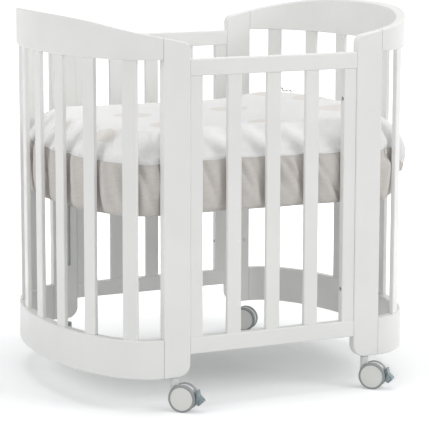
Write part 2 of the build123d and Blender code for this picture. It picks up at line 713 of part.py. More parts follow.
def housing():
    """The hood between the wheels, with its neck."""
    half = HOUSING_THICKNESS / 2
    hood = rod_y(HOOD_RADIUS, -half, half, CASTER_TRAIL, WHEEL_RADIUS)
    hood += block((-NECK_RADIUS, NECK_RADIUS), (-half, half), (WHEEL_RADIUS, NECK_BOTTOM))
    hood &= block((-BODY_WIDTH, BODY_WIDTH), (-half, half), (HOOD_FLOOR, FOOT_HEIGHT))
    body = hood + rod_z(NECK_RADIUS, NECK_BOTTOM, neck_top())
    wheels = rod_y(WHEEL_RADIUS + PEDAL_WHEEL_GAP, half, WHEEL_RADIUS, CASTER_TRAIL, WHEEL_RADIUS)
    body = body - wheels - mirror(wheels, about=Plane.XZ)
    body -= rod_y(AXLE_RADIUS, -half, half, CASTER_TRAIL, WHEEL_RADIUS)
    return body - rod_z(STEM_RADIUS, STEM_BOTTOM, neck_top())


def braked_housing():
    """A housing with two ears and a slot for the pedal."""
    half = HOUSING_THICKNESS / 2
    slot = PEDAL_SLOT_HALF_WIDTH
    x, z = pedal_pivot()
    room = PEDAL_HUB_RADIUS + PEDAL_WHEEL_GAP
    body = housing() + rod_y(room, -half, half, x, z)
    body -= rod_y(room, -slot, slot, x, z)
    body -= block((x, x + WHEEL_RADIUS), (-slot, slot), (HOOD_FLOOR, z + WHEEL_RADIUS))
    return body - rod_y(TRUNNION_RADIUS + RUNNING_CLEARANCE, -half, half, x, z)


def stem():
    """The steel stem pressed into the neck."""
    return rod_z(STEM_RADIUS, STEM_BOTTOM, FOOT_HEIGHT + STEM_REACH)


def socket():
    """The flanged sleeve in the post that the stem turns in."""
    top = FOOT_HEIGHT + STEM_REACH + SOCKET_END_MARGIN
    sleeve = rod_z(SOCKET_RADIUS, FOOT_HEIGHT, top)
    sleeve += rod_z(SOCKET_FLANGE_RADIUS, FOOT_HEIGHT - SOCKET_FLANGE_THICKNESS, FOOT_HEIGHT)
    bore = STEM_RADIUS + RUNNING_CLEARANCE
    return sleeve - rod_z(bore, FOOT_HEIGHT - SOCKET_FLANGE_THICKNESS, top - SOCKET_END_MARGIN / 2)


def pedal():
    """The brake pedal: a hub on trunnions, with a lift tab, a press tab and a brake shoe."""
    x, z = pedal_pivot()
    tread = PEDAL_TREAD_HALF_WIDTH
    body = upright(Polygon(*PEDAL_OUTLINE, align=None), 2 * tread, tread)
    body = Pos(CASTER_TRAIL, 0, WHEEL_RADIUS) * body
    keep_out = WHEEL_RADIUS + PEDAL_WHEEL_GAP
    wheels = rod_y(keep_out, PEDAL_HALF_WIDTH, WHEEL_RADIUS, CASTER_TRAIL, WHEEL_RADIUS)
    body = body - wheels - mirror(wheels, about=Plane.XZ)
    body += rod_y(PEDAL_HUB_RADIUS, -PEDAL_HALF_WIDTH, PEDAL_HALF_WIDTH, x, z)
    reach = HOUSING_THICKNESS / 2 - TRUNNION_END_GAP
    return body + rod_y(TRUNNION_RADIUS, -reach, reach, x, z)


def at_corner(shape, side_x, side_y, turn):
    """Place a caster's piece under its post, swivelled to its resting direction."""
    return Pos(side_x * CASTER_X, side_y * BOARD_MIDDLE_Y, 0) * Rot(0, 0, turn) * shape


def build():
    """Make every node and write its STEP file."""
    quadrants = [(side_x, side_y) for side_x, side_y, _ in CORNERS.values()]

    rear_right_post = post()
    for name, (side_x, side_y, _) in CORNERS.items():
        save(at_quadrant(rear_right_post, side_x, side_y), f"post_{name}")

    slats = end_slats()
    slats[(END_SLAT_COUNT - 1) // 2 + HOOK_SLAT] -= hook_hole()
    save(group(slats), "right_end_slats")
    save(group(mirror(one, about=Plane.YZ) for one in end_slats()), "left_end_slats")
    for rail, label in ((end_top_rail(), "top_rail"), (end_lower_rail(), "lower_rail")):
        save(rail, f"right_end_{label}")
        save(mirror(rail, about=Plane.YZ), f"left_end_{label}")

    top_rail = side_rail(TOP_RAIL_BOTTOM, RAIL_LEVEL, TOP_RAIL_BOTTOM, 1)
    lower_rail = side_rail(LOWER_RAIL_BOTTOM, LOWER_RAIL_TOP, LOWER_RAIL_TOP, -1)
    for side, side_y in (("front", -1), ("rear", 1)):
        save(at_quadrant(top_rail, 1, side_y), f"{side}_top_rail")
        save(at_quadrant(lower_rail, 1, side_y), f"{side}_lower_rail")
        save(group(at_quadrant(one, 1, side_y) for one in side_slats()), f"{side}_slats")
        save(at_quadrant(stile(), 1, side_y), f"{side}_right_stile")
        save(at_quadrant(stile(), -1, side_y), f"{side}_left_stile")

    bolts = [panel_bolt(z) for z in BOLT_HEIGHTS]
    nuts = [barrel_nut(z) for z in BOLT_HEIGHTS]
    dowels = joint_dowels(FOOT_HEIGHT, LOWER_RAIL_TOP) + joint_dowels(RAIL_LEVEL, SEAM_HEIGHT)
    screws = [bracket_screw(place) for place in screw_places()]
    repeated = {
        "panel_bolts": bolts,
        "barrel_nuts": nuts,
        "end_rail_dowels": dowels,
        "height_tracks": [height_track()],
        "base_brackets": [base_bracket()],
        "bracket_screws": screws,
        "height_knobs": [height_knob()],
        "slider_nuts": [slider_nut()],
    }
    for node, pieces in repeated.items():
        save(group(at_quadrant(piece, *place) for place in quadrants for piece in pieces), node)

    save(wire_hook(), "wire_hook")
    save(base_board(), "base_board")
    save(mattress(), "mattress")
    save(cover_top(), "cover_top")
    save(cover_skirt(), "cover_skirt")
    save(group(at_quadrant(press_stud(), 1, side_y) for side_y in (-1, 1)), "press_studs")

    save(group(at_corner(socket(), *place) for place in CORNERS.values()), "caster_sockets")
    for name, (side_x, side_y, turn) in CORNERS.items():
        braked = name in BRAKED_CORNERS
        pieces = {
            "housing": braked_housing() if braked else housing(),
            "stem": stem(),
            "axle": axle(),
            "outer_wheel": wheel(side_y),
            "inner_wheel": wheel(-side_y),
        }
        if braked:
            pieces["brake_pedal"] = pedal()
        for label, piece in pieces.items():
            save(at_corner(piece, side_x, side_y, turn), f"{name}_{label}")


os.makedirs("parts", exist_ok=True)
build()
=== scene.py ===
"""Looks of a baby crib with bowed ends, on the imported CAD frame.

Lacquered beech, swivel casters and padded bedding.
"""

import enum
import functools
import json
import logging
import math
import random
from dataclasses import dataclass, field
from typing import Any, Iterable, Sequence

import bpy
import numpy as np
from mathutils import Matrix, Vector, noise
from mathutils.kdtree import KDTree


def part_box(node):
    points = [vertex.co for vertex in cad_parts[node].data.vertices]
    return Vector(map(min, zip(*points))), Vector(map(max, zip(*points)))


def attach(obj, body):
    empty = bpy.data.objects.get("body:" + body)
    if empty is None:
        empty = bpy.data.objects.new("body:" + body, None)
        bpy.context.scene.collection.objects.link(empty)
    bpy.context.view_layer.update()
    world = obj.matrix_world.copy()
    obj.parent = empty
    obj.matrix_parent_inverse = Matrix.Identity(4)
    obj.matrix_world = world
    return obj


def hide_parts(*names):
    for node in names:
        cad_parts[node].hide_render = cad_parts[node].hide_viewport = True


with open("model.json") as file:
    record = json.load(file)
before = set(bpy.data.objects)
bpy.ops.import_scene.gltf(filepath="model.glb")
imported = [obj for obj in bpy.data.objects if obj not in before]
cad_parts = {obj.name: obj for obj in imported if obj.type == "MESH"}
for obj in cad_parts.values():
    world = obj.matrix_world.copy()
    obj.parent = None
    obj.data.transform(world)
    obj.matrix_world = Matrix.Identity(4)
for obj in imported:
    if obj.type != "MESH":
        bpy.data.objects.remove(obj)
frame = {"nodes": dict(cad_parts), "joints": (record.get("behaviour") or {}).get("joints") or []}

log = logging.getLogger("crib")
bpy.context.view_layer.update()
MM = 0.001
WHITE = (1.0, 1.0, 1.0, 1.0)
POST_REACH = 0.263  # from the crib's middle to where the posts meet the bowed rails
SMOOTH = {"interpolation_type": "SMOOTHSTEP"}  # for a MapRange node
COLOURS = {"data_type": "RGBA", "output": 2}  # for a Mix node, whose colours are inputs 6 and 7

Size = float | tuple[float, float, float]
PointsAndFaces = tuple[np.ndarray, list[Sequence[int]]]


# --- Colours and nodes -----------------------------------------------------------------------------


def linear(colour: str) -> tuple[float, float, float, float]:
    """Turns an sRGB hex colour to linear values.

    Args:
        colour: six hex digits.

    Returns:
        Red, green, blue and full opacity.
    """
    parts = [int(colour[i : i + 2], 16) / 255 for i in (0, 2, 4)]
    r, g, b = (p / 12.92 if p <= 0.04045 else ((p + 0.055) / 1.055) ** 2.4 for p in parts)
    return r, g, b, 1.0


@dataclass
class Drawing:
    """A material or world being drawn, in real millimetres from its place in the CAD frame."""

    tree: bpy.types.NodeTree

    @classmethod
    def of(cls, owner: bpy.types.Material | bpy.types.World) -> "Drawing":
        """Starts an empty drawing.

        Args:
            owner: the material or world.

        Returns:
            The drawing.
        """
        owner.use_nodes = True
        owner.node_tree.nodes.clear()
        return cls(owner.node_tree)

    def add(
        self, kind: str, inputs: dict[str | int, Any], output: str | int = 0, **settings: Any
    ) -> bpy.types.NodeSocket | None:
        """Adds a node with its settings and links.

        Args:
            kind: type of the node, without ShaderNode before it.
            inputs: for an input socket's name or number, its value, a hex colour, or the output
                that it is linked to.
            output: name or number of the output to give.
            settings: properties of the node.

        Returns:
            The output, or None from a node that has none.
        """
        node = self.tree.nodes.new(f"ShaderNode{kind}")
        for name, value in settings.items():
            setattr(node, name, value)
        for name, value in inputs.items():
            if isinstance(value, bpy.types.NodeSocket):
                self.tree.links.new(value, node.inputs[name])
            else:
                node.inputs[name].default_value = linear(value) if isinstance(value, str) else value
        return node.outputs[output] if node.outputs else None

    @functools.cached_property
    def place(self) -> bpy.types.NodeSocket:
        """The surface's place in the CAD frame, in metres."""
        return self.add("TexCoord", {}, "Object")

    def spots(self, size_mm: Size, detail: float = 2.0) -> bpy.types.NodeSocket:
        """Draws soft uneven spots, from about 0.3 to 0.7.

        Args:
            size_mm: their size, the same all ways or one for each axis.
            detail: how many finer layers they have.

        Returns:
            The spots.
        """
        sizes = size_mm if isinstance(size_mm, tuple) else (size_mm,) * 3
        cells = tuple(1 / (size * MM) for size in sizes)
        scaled = self.add("VectorMath", {0: self.place, 1: cells}, operation="MULTIPLY")
        return self.add("TexNoise", {"Vector": scaled, "Scale": 1.0, "Detail": detail}, "Fac")

    def waves(self, way: tuple[float, float, float], pitch_mm: float) -> bpy.types.NodeSocket:
        """Draws even waves, from -1 to 1.

        Args:
            way: the direction that they follow each other in, whose length packs them closer.
            pitch_mm: distance from wave to wave.

        Returns:
            The waves.
        """
        along = self.add("VectorMath", {0: self.place, 1: way}, "Value", operation="DOT_PRODUCT")
        turns = self.add("Math", {0: along, 1: 2 * math.pi / (pitch_mm * MM)}, operation="MULTIPLY")
        return self.add("Math", {0: turns}, operation="SINE")


# --- Finishes --------------------------------------------------------------------------------------


@dataclass(frozen=True)
class Finish:
    """A surface finish, which draws its own material once."""

    name: str
    relief_mm: float = 0.03  # height of its grain, weave or ripple
    relief_share: float = 0.5  # how much of that shows

    def draw(self, art: Drawing) -> dict[str, Any]:
        """Gives the Principled shader's inputs, with the height pattern as Normal."""
        raise NotImplementedError

    def material(self) -> bpy.types.Material:
        """Gives the material, and makes it if it isn't there yet.

        Returns:
            The material.
        """
        made = bpy.data.materials.get(self.name)
        if made is None:
            made = bpy.data.materials.new(self.name)
            art = Drawing.of(made)
            inputs = self.draw(art)
            relief = {"Distance": self.relief_mm * MM, "Strength": self.relief_share}
            inputs["Normal"] = art.add("Bump", {"Height": inputs["Normal"], **relief})
            art.add("OutputMaterial", {"Surface": art.add("BsdfPrincipled", inputs)})
        return made

    def dress(self, *objects: bpy.types.Object) -> None:
        """Gives the objects this finish in place of what they have.

        Args:
            objects: CAD nodes or pieces.
        """
        for obj in objects:
            if not obj.material_slots:
                obj.data.materials.append(None)
            for place in obj.material_slots:
                place.material = self.material()


@dataclass(frozen=True)
class SprayedLacquer(Finish):
    """Polyurethane lacquer sprayed on sanded beech.

    It is an even satin white, with the faint ripple of spray that has flowed out and a soft highlight
    along each rounded edge. A thin dark line can be drawn at each butt joint: partly dust in the joint,
    partly painted shade of its groove.
    """

    relief_mm: float = 0.02
    colour: str = "EFEFED"
    shade: str = "ECECEA"
    cloud_mm: float = 140.0
    gloss_cloud_mm: float = 38.0
    gloss: tuple[float, float] = (0.30, 0.40)
    ripple_mm: float = 3.0
    joint: str = "A3A3A0"
    joint_at: tuple[float, ...] = ()  # distances of butt joints from the middle, along X, in metres
    joint_mm: float = 1.4
    joint_share: float = 0.9

    def draw(self, art: Drawing) -> dict[str, Any]:
        """Gives cloudy white, satin gloss that varies with the spray, and thin joint lines: partly dust
        in the joint, partly painted shade of its groove.

        Args:
            art: draws in the material.

        Returns:
            The shader's inputs, with the height pattern as Normal.
        """
        cloud = art.add("MapRange", {0: art.spots(self.cloud_mm), 1: 0.35, 2: 0.65}, **SMOOTH)
        white = art.add("Mix", {0: cloud, 6: self.colour, 7: self.shade}, **COLOURS)
        # Each joint line is partly dust in the joint and partly painted shade of its groove.
        for place in self.joint_at:
            x = {0: art.place, 1: (1, 0, 0)}
            along = art.add("VectorMath", x, "Value", operation="DOT_PRODUCT")
            outward = art.add("Math", {0: along}, operation="ABSOLUTE")
            past = art.add("Math", {0: outward, 1: place}, operation="SUBTRACT")
            away = art.add("Math", {0: past}, operation="ABSOLUTE")
            edge = self.joint_mm * MM
            limits = {1: 0.6 * edge, 2: edge, 3: self.joint_share, 4: 0}
            line = art.add("MapRange", {0: away, **limits}, **SMOOTH)
            white = art.add("Mix", {0: line, 6: white, 7: self.joint}, **COLOURS)
        gloss = {1: 0.3, 2: 0.7, 3: self.gloss[0], 4: self.gloss[1]}
        return {
            "Base Color": white,
            "Roughness": art.add("MapRange", {0: art.spots(self.gloss_cloud_mm), **gloss}, **SMOOTH),
            "IOR": 1.5,
            "Normal": art.spots(self.ripple_mm, 1.0),
        }


@dataclass(frozen=True, kw_only=True)
class CoatedMetal(Finish):
    """A coat on metal whose colour and gloss cloud together, over a fine grain."""

    colour: str
    dull: str
    cloud_mm: float
    gloss: tuple[float, float]
    grain_mm: float
    grain_detail: float = 2.0
    optics: dict[str, float] = field(default_factory=lambda: {"Metallic": 1.0}, compare=False)

    def draw(self, art: Drawing) -> dict[str, Any]:
        """Gives the coat, clouded in colour and gloss, with its grain.

        Args:
            art: draws in the material.

        Returns:
            The shader's inputs, with the height pattern as Normal.
        """
        cloud = art.add("MapRange", {0: art.spots(self.cloud_mm), 1: 0.3, 2: 0.7}, **SMOOTH)
        gloss = {3: self.gloss[0], 4: self.gloss[1]}
        return {
            "Base Color": art.add("Mix", {0: cloud, 6: self.colour, 7: self.dull}, **COLOURS),
            "Roughness": art.add("MapRange", {0: cloud, **gloss}, **SMOOTH),
            "Normal": art.spots(self.grain_mm, self.grain_detail),
            **self.optics,
        }


@dataclass(frozen=True)
class ZincPlatedSteel(CoatedMetal):
    """Steel plated with bright zinc: cool grey metal with the faint cloudiness of the bath."""

    relief_mm: float = 0.01
    relief_share: float = 0.4
    colour: str = "C8CCCF"
    dull: str = "A7ACB0"
    cloud_mm: float = 4.0
    gloss: tuple[float, float] = (0.20, 0.36)
    grain_mm: float = 0.8


@dataclass(frozen=True)
class PowderCoatedAluminium(CoatedMetal):
    """Extruded aluminium with a white powder coat: thicker than lacquer, with a coarser ripple."""

    relief_mm: float = 0.05
    relief_share: float = 0.6
    colour: str = "E9EAEA"
    dull: str = "E4E5E5"
    cloud_mm: float = 30.0
    gloss: tuple[float, float] = (0.34, 0.46)
    grain_mm: float = 1.6
    grain_detail: float = 1.0
    optics: dict[str, float] = field(default_factory=lambda: {"IOR": 1.5}, compare=False)


@dataclass(frozen=True)
class TurnedBeech(Finish):
    """Bare beech, turned and fluted: pale pinkish tan with short darker flecks along the grain."""

    relief_mm: float = 0.1
    colour: str = "DDC3A0"
    grain: str = "C6A47B"
    grain_mm: tuple[float, float, float] = (30.0, 1.6, 1.6)
    fleck_mm: tuple[float, float, float] = (3.0, 0.5, 0.5)

    def draw(self, art: Drawing) -> dict[str, Any]:
        """Gives tan wood with grain and flecks along X, the dowels' length.

        Args:
            art: draws in the material.

        Returns:
            The shader's inputs, with the height pattern as Normal.
        """
        grain = art.spots(self.grain_mm, 4.0)
        pores = art.spots(self.fleck_mm, 1.0)
        fleck = art.add("MapRange", {0: pores, 1: 0.6, 2: 0.7, 4: 0.5}, **SMOOTH)
        dark = art.add("MapRange", {0: grain, 1: 0.35, 2: 0.65}, **SMOOTH)
        wood = art.add("Mix", {0: dark, 6: self.colour, 7: self.grain}, **COLOURS)
        return {
            "Base Color": art.add("Mix", {0: fleck, 6: wood, 7: self.grain}, **COLOURS),
            "Roughness": art.add("MapRange", {0: grain, 1: 0.3, 2: 0.7, 3: 0.5, 4: 0.65}, **SMOOTH),
            "IOR": 1.5,
            "Normal": grain,
        }


@dataclass(frozen=True)
class MouldedNylon(Finish):
    """Polyamide moulded in a spark-eroded tool: white, with a fine grain that softens its shine."""

    colour: str = "E4E5E4"
    flow: str = "D8DAD9"
    flow_mm: float = 22.0
    gloss: tuple[float, float] = (0.34, 0.44)
    gloss_cloud_mm: float = 6.0
    grain_mm: float = 0.7

    def draw(self, art: Drawing) -> dict[str, Any]:
        """Gives white plastic with the tool's fine grain and a slight flow shade.

        Args:
            art: draws in the material.

        Returns:
            The shader's inputs, with the height pattern as Normal.
        """
        flow = art.add("MapRange", {0: art.spots(self.flow_mm), 1: 0.3, 2: 0.7, 4: 0.5}, **SMOOTH)
        gloss = {1: 0.3, 2: 0.7, 3: self.gloss[0], 4: self.gloss[1]}
        return {
            "Base Color": art.add("Mix", {0: flow, 6: self.colour, 7: self.flow}, **COLOURS),
            "Roughness": art.add("MapRange", {0: art.spots(self.gloss_cloud_mm), **gloss}, **SMOOTH),
            "IOR": 1.53,
            "Normal": art.spots(self.grain_mm),
        }


@dataclass(frozen=True)
class MouldedAcetal(MouldedNylon):
    """Acetal snap fasteners: smooth ivory plastic, a little shinier than the moulded nylon."""

    colour: str = "DFDDD7"
    grain_mm: float = 1.2
    gloss: tuple[float, float] = (0.22, 0.30)


@dataclass(frozen=True)
class TwoShotWheel(Finish):
    """A caster wheel moulded in two shots.

    A pale polypropylene disc sits inside a grey rubbery tread, which is scuffed where it rolls.
    """

    centre: tuple[float, float, float] = (0.0, 0.0, 0.0)
    axle: tuple[float, float, float] = (1.0, 0.0, 0.0)
    disc: str = "E8E8E4"
    tread: str = "989C9D"
    scuff: str = "ABADAC"
    disc_radius_mm: float = 25.3
    wheel_radius_mm: float = 30.0
    seam_mm: float = 0.2
    worn_mm: float = 0.8
    scuff_mm: float = 3.5
    grain_mm: float = 0.9

    def draw(self, art: Drawing) -> dict[str, Any]:
        """Gives the disc, the tread round it, and scuffs on the running face.

        Args:
            art: draws in the material.

        Returns:
            The shader's inputs, with the height pattern as Normal.
        """
        arm = art.add("VectorMath", {0: art.place, 1: self.centre}, operation="SUBTRACT")
        outwards = art.add("VectorMath", {0: arm, 1: self.axle}, operation="CROSS_PRODUCT")
        radius = art.add("VectorMath", {0: outwards}, "Value", operation="LENGTH")
        inner, outer = self.disc_radius_mm * MM, self.wheel_radius_mm * MM
        seam = {1: inner - self.seam_mm * MM, 2: inner + self.seam_mm * MM}
        rubber = art.add("MapRange", {0: radius, **seam}, **SMOOTH)
        rolling = art.add("MapRange", {0: radius, 1: outer - self.worn_mm * MM, 2: outer}, **SMOOTH)
        patches = art.spots(self.scuff_mm, 3.0)
        scuffs = art.add("MapRange", {0: patches, 1: 0.45, 2: 0.65, 4: 0.8}, **SMOOTH)
        worn = art.add("Math", {0: rolling, 1: scuffs}, operation="MULTIPLY")
        base = art.add("Mix", {0: rubber, 6: self.disc, 7: self.tread}, **COLOURS)
        return {
            "Base Color": art.add("Mix", {0: worn, 6: base, 7: self.scuff}, **COLOURS),
            "Roughness": art.add("MapRange", {0: rubber, 3: 0.34, 4: 0.6}, **SMOOTH),
            "IOR": 1.5,
            "Normal": art.spots(self.grain_mm),
        }


@dataclass(frozen=True)
class TintedPolycarbonate(Finish):
    """Polycarbonate moulded with a smoky blue tint: it shines, and thin tabs pass a little light."""

    relief_mm: float = 0.02
    relief_share: float = 0.4
    colour: str = "A3B4BA"
    deep: str = "728389"
    flow_mm: tuple[float, float, float] = (3.0, 3.0, 9.0)
    ripple_mm: float = 2.0

    def draw(self, art: Drawing) -> dict[str, Any]:
        """Gives smoky blue plastic that passes some light, with faint flow lines.

        Args:
            art: draws in the material.

        Returns:
            The shader's inputs, with the height pattern as Normal.
        """
        flow = art.add("MapRange", {0: art.spots(self.flow_mm), 1: 0.3, 2: 0.7}, **SMOOTH)
        return {
            "Base Color": art.add("Mix", {0: flow, 6: self.colour, 7: self.deep}, **COLOURS),
            "Roughness": art.add("MapRange", {0: flow, 3: 0.16, 4: 0.26}, **SMOOTH),
            "IOR": 1.585,
            "Transmission Weight": 0.2,
            "Normal": art.spots(self.ripple_mm),
        }


@dataclass(frozen=True)
class WovenCotton(Finish):
    """Plain woven cotton, bleached white, with soft rounded spots printed on the panel to lie on.

    Each thread crossing is a small pillow, which makes the cloth matt.
    """

    relief_mm: float = 0.1
    relief_share: float = 0.2
    colour: str = "EFEFEF"
    shade: str = "ECECEB"
    print_colour: str = "E4E0DB"
    thread_mm: float = 1.3  # 0.35 mm in the cloth, drawn coarser so that it shows
    slub_mm: float = 9.0
    spot_pitch_mm: float = 210.0
    spot_radius_mm: float = 44.0
    spot_scatter: float = 0.45
    panel_height_mm: float = 574.0
    panel_edge_mm: float = 3.0
    printed: bool = True

    def draw(self, art: Drawing) -> dict[str, Any]:
        """Gives white cloth with a plain weave and, if printed, its spots.

        Args:
            art: draws in the material.

        Returns:
            The shader's inputs, with the height pattern as Normal.
        """
        warp, weft = (art.waves(way, 2 * self.thread_mm) for way in ((1, 0, 1), (0, 1, 1)))
        weave = art.add("Math", {0: warp, 1: weft}, operation="MULTIPLY")
        slub = art.spots(self.slub_mm, 3.0)
        shade = art.add("MapRange", {0: slub, 1: 0.35, 2: 0.65}, **SMOOTH)
        cloth = art.add("Mix", {0: shade, 6: self.colour, 7: self.shade}, **COLOURS)
        if self.printed:
            cloth = art.add("Mix", {0: self._ink(art, slub), 6: cloth, 7: self.print_colour}, **COLOURS)
        return {
            "Base Color": cloth,
            "Roughness": 0.9,
            "IOR": 1.46,
            "Sheen Weight": 0.12,
            "Sheen Roughness": 0.5,
            "Normal": weave,
        }

    def _ink(self, art: Drawing, slub: bpy.types.NodeSocket) -> bpy.types.NodeSocket:
        """Prints rounded spots above the panel's edge.

        Args:
            art: draws in the material.
            slub: the yarn's unevenness, which the ink takes up.

        Returns:
            How much ink there is, from 0 to 1.
        """
        flat = art.add("VectorMath", {0: art.place, 1: (1, 1, 0)}, operation="MULTIPLY")
        cells = {"Scale": 1 / (self.spot_pitch_mm * MM), "Randomness": self.spot_scatter}
        cell = art.add("TexVoronoi", {"Vector": flat, **cells}, "Distance", voronoi_dimensions="2D")
        edge = self.spot_radius_mm / self.spot_pitch_mm
        spot = art.add("MapRange", {0: cell, 1: edge - 0.02, 2: edge + 0.02, 3: 1, 4: 0}, **SMOOTH)
        height = art.add("VectorMath", {0: art.place, 1: (0, 0, 1)}, "Value", operation="DOT_PRODUCT")
        limits = {1: self.panel_height_mm * MM, 2: (self.panel_height_mm + self.panel_edge_mm) * MM}
        panel = art.add("MapRange", {0: height, **limits}, **SMOOTH)
        taken = art.add("MapRange", {0: slub, 1: 0.3, 2: 0.6, 3: 0.85, 4: 1}, **SMOOTH)
        inked = art.add("Math", {0: spot, 1: panel}, operation="MULTIPLY")
        return art.add("Math", {0: inked, 1: taken}, operation="MULTIPLY")


@dataclass(frozen=True)
class LinenTwill(Finish):
    """Undyed linen in a broken twill.

    It is greyish beige, with small diagonal dots where the light threads float over the dark ones.
    """

    relief_mm: float = 0.15
    colour: str = "D3CEC9"
    thread: str = "BFBAB4"
    light: str = "DEDAD5"
    float_mm: float = 2.4  # about 1 mm in the cloth, drawn coarser so that it shows
    fall_mm: float = 3.84  # the same, across the twill
    float_share: float = 0.55
    yarn_mm: tuple[float, float, float] = (14.0, 14.0, 2.5)

    def draw(self, art: Drawing) -> dict[str, Any]:
        """Gives beige cloth with diagonal floats and uneven yarn.

        Args:
            art: draws in the material.

        Returns:
            The shader's inputs, with the height pattern as Normal.
        """
        rise = art.waves((0.8, 0.8, 1.0), self.float_mm)
        fall = art.waves((0.8, 0.8, -1.0), self.fall_mm)
        crossed = art.add("Math", {0: rise, 1: fall}, operation="MULTIPLY")
        floats = art.add("MapRange", {0: crossed, 1: 0.05, 2: 0.6}, **SMOOTH)
        yarn = art.add("MapRange", {0: art.spots(self.yarn_mm), 1: 0.35, 2: 0.65, 4: 0.3}, **SMOOTH)
        cloth = art.add("Mix", {0: yarn, 6: self.colour, 7: self.thread}, **COLOURS)
        shown = art.add("Math", {0: floats, 1: self.float_share}, operation="MULTIPLY")
        return {
            "Base Color": art.add("Mix", {0: shown, 6: cloth, 7: self.light}, **COLOURS),
            "Roughness": 0.92,
            "IOR": 1.46,
            "Sheen Weight": 0.15,
            "Sheen Roughness": 0.5,
            "Normal": floats,
        }


@dataclass(frozen=True)
class QuiltedTicking(Finish):
    """Cotton and polyester ticking quilted in diamonds over foam.

    It is ivory, with a dimple along each line of stitches.
    """

    relief_mm: float = 1.2
    relief_share: float = 0.6
    colour: str = "E9E6E0"
    stripe: str = "DDD9D2"
    stripe_mm: float = 5.0
    diamond_mm: float = 60.0

    def draw(self, art: Drawing) -> dict[str, Any]:
        """Gives ivory cloth with crossed quilting lines and a close stripe.

        Args:
            art: draws in the material.

        Returns:
            The shader's inputs, with the height pattern as Normal.
        """
        dips = []
        for way in ((1, 1, 0.5), (1, -1, -0.5)):
            line = art.add("Math", {0: art.waves(way, self.diamond_mm)}, operation="ABSOLUTE")
            dips.append(art.add("MapRange", {0: line, 1: 0, 2: 0.25}, **SMOOTH))
        quilted = art.add("Math", dict(enumerate(dips)), operation="MULTIPLY")
        bands = art.waves((1, 0.4, 0), self.stripe_mm)
        stripe = art.add("MapRange", {0: bands, 1: -0.4, 2: 0.4, 4: 0.6}, **SMOOTH)
        return {
            "Base Color": art.add("Mix", {0: stripe, 6: self.colour, 7: self.stripe}, **COLOURS),
            "Roughness": 0.88,
            "Sheen Weight": 0.1,
            "Normal": quilted,
        }


class Stock(enum.Enum):
    """Finishes that the crib's makers have to hand."""

    LACQUER = SprayedLacquer("sprayed_lacquer")
    # Lacquer with a line drawn at the end rails' joints, partly painted shade: dark at the left end,
    # faint at the right end.
    DARK_JOINT_LINE_LACQUER = SprayedLacquer("sprayed_lacquer_dark_joint_line", joint_at=(POST_REACH,))
    FAINT_JOINT_LINE_LACQUER = SprayedLacquer(
        "sprayed_lacquer_faint_joint_line", joint_at=(POST_REACH,), joint="D4D4D2"
    )
    STEEL = ZincPlatedSteel("zinc_plated_steel")
    WIRE = ZincPlatedSteel("phosphated_steel_wire", colour="77797A", dull="515355", gloss=(0.34, 0.5))
    ALUMINIUM = PowderCoatedAluminium("powder_coated_aluminium")
    BEECH = TurnedBeech("turned_beech")
    NYLON = MouldedNylon("moulded_nylon")
    ACETAL = MouldedAcetal("moulded_acetal")
    SMOKED = TintedPolycarbonate("tinted_polycarbonate")
    SHEETING = WovenCotton("woven_cotton")
    PLAIN_SHEETING = WovenCotton("woven_cotton_plain", printed=False)
    LINEN = LinenTwill("linen_twill")
    TICKING = QuiltedTicking("quilted_ticking")


# --- Making meshes ---------------------------------------------------------------------------------


def make_object(name: str, points: np.ndarray, faces: Iterable[Sequence[int]]) -> bpy.types.Object:
    """Makes a smooth-shaded mesh object.

    Args:
        name: the piece's name.
        points: one row of x, y, z in metres for each vertex.
        faces: vertex numbers of each face.

    Returns:
        The object, linked to the scene.
    """
    mesh = bpy.data.meshes.new(name)
    mesh.from_pydata([tuple(map(float, p)) for p in points], [], [tuple(map(int, f)) for f in faces])
    mesh.validate()
    mesh.shade_smooth()
    obj = bpy.data.objects.new(name, mesh)
    bpy.context.scene.collection.objects.link(obj)
    return obj


def grid_faces(rows: int, columns: int, closed: bool = False, first: int = 0) -> list[Sequence[int]]:
    """Faces of a grid of vertices that are numbered row by row.

    Args:
        rows: number of rows.
        columns: number of vertices in a row.
        closed: True joins each row's last vertex to its first.
        first: number of the first vertex.

    Returns:
        The faces.
    """
    last = columns if closed else columns - 1
    return [
        (
            first + r * columns + c,
            first + r * columns + (c + 1) % columns,
            first + (r + 1) * columns + (c + 1) % columns,
            first + (r + 1) * columns + c,
        )
        for r in range(rows - 1)
        for c in range(last)
    ]


def capped_faces(rows: int, columns: int, first: int = 0) -> list[Sequence[int]]:
    """Faces of a closed grid with a face over each end.

    Args:
        rows: number of rings.
        columns: number of vertices in a ring.
        first: number of the first vertex.

    Returns:
        The faces.
    """
    last = first + rows * columns
    ends = [tuple(reversed(range(first, first + columns))), tuple(range(last - columns, last))]
    return [*grid_faces(rows, columns, closed=True, first=first), *ends]


def unit(rows: np.ndarray) -> np.ndarray:
    """Gives each row a length of 1."""
    return rows / np.linalg.norm(rows, axis=1)[:, None]


def eased(share: np.ndarray) -> np.ndarray:
    """Eases shares from 0 to 1, so that they start and end level."""
    return share * share * (3 - 2 * share)


def hump(away: np.ndarray) -> np.ndarray:
    """Gives a rounded hump: 1 at 0, and nearly nothing past 2 on either side."""
    return np.exp(-(away**2))


def around(side: np.ndarray, up: np.ndarray, sides: int) -> np.ndarray:
    """Gives even directions round each point of a line.

    Args:
        side: one direction across the line at each point.
        up: the other.
        sides: number of directions.

    Returns:
        For each point, a row of x, y, z for each direction.
    """
    angles = np.arange(sides) * 2 * math.pi / sides
    across, upwards = np.cos(angles)[None, :, None], np.sin(angles)[None, :, None]
    return across * side[:, None, :] - upwards * up[:, None, :]


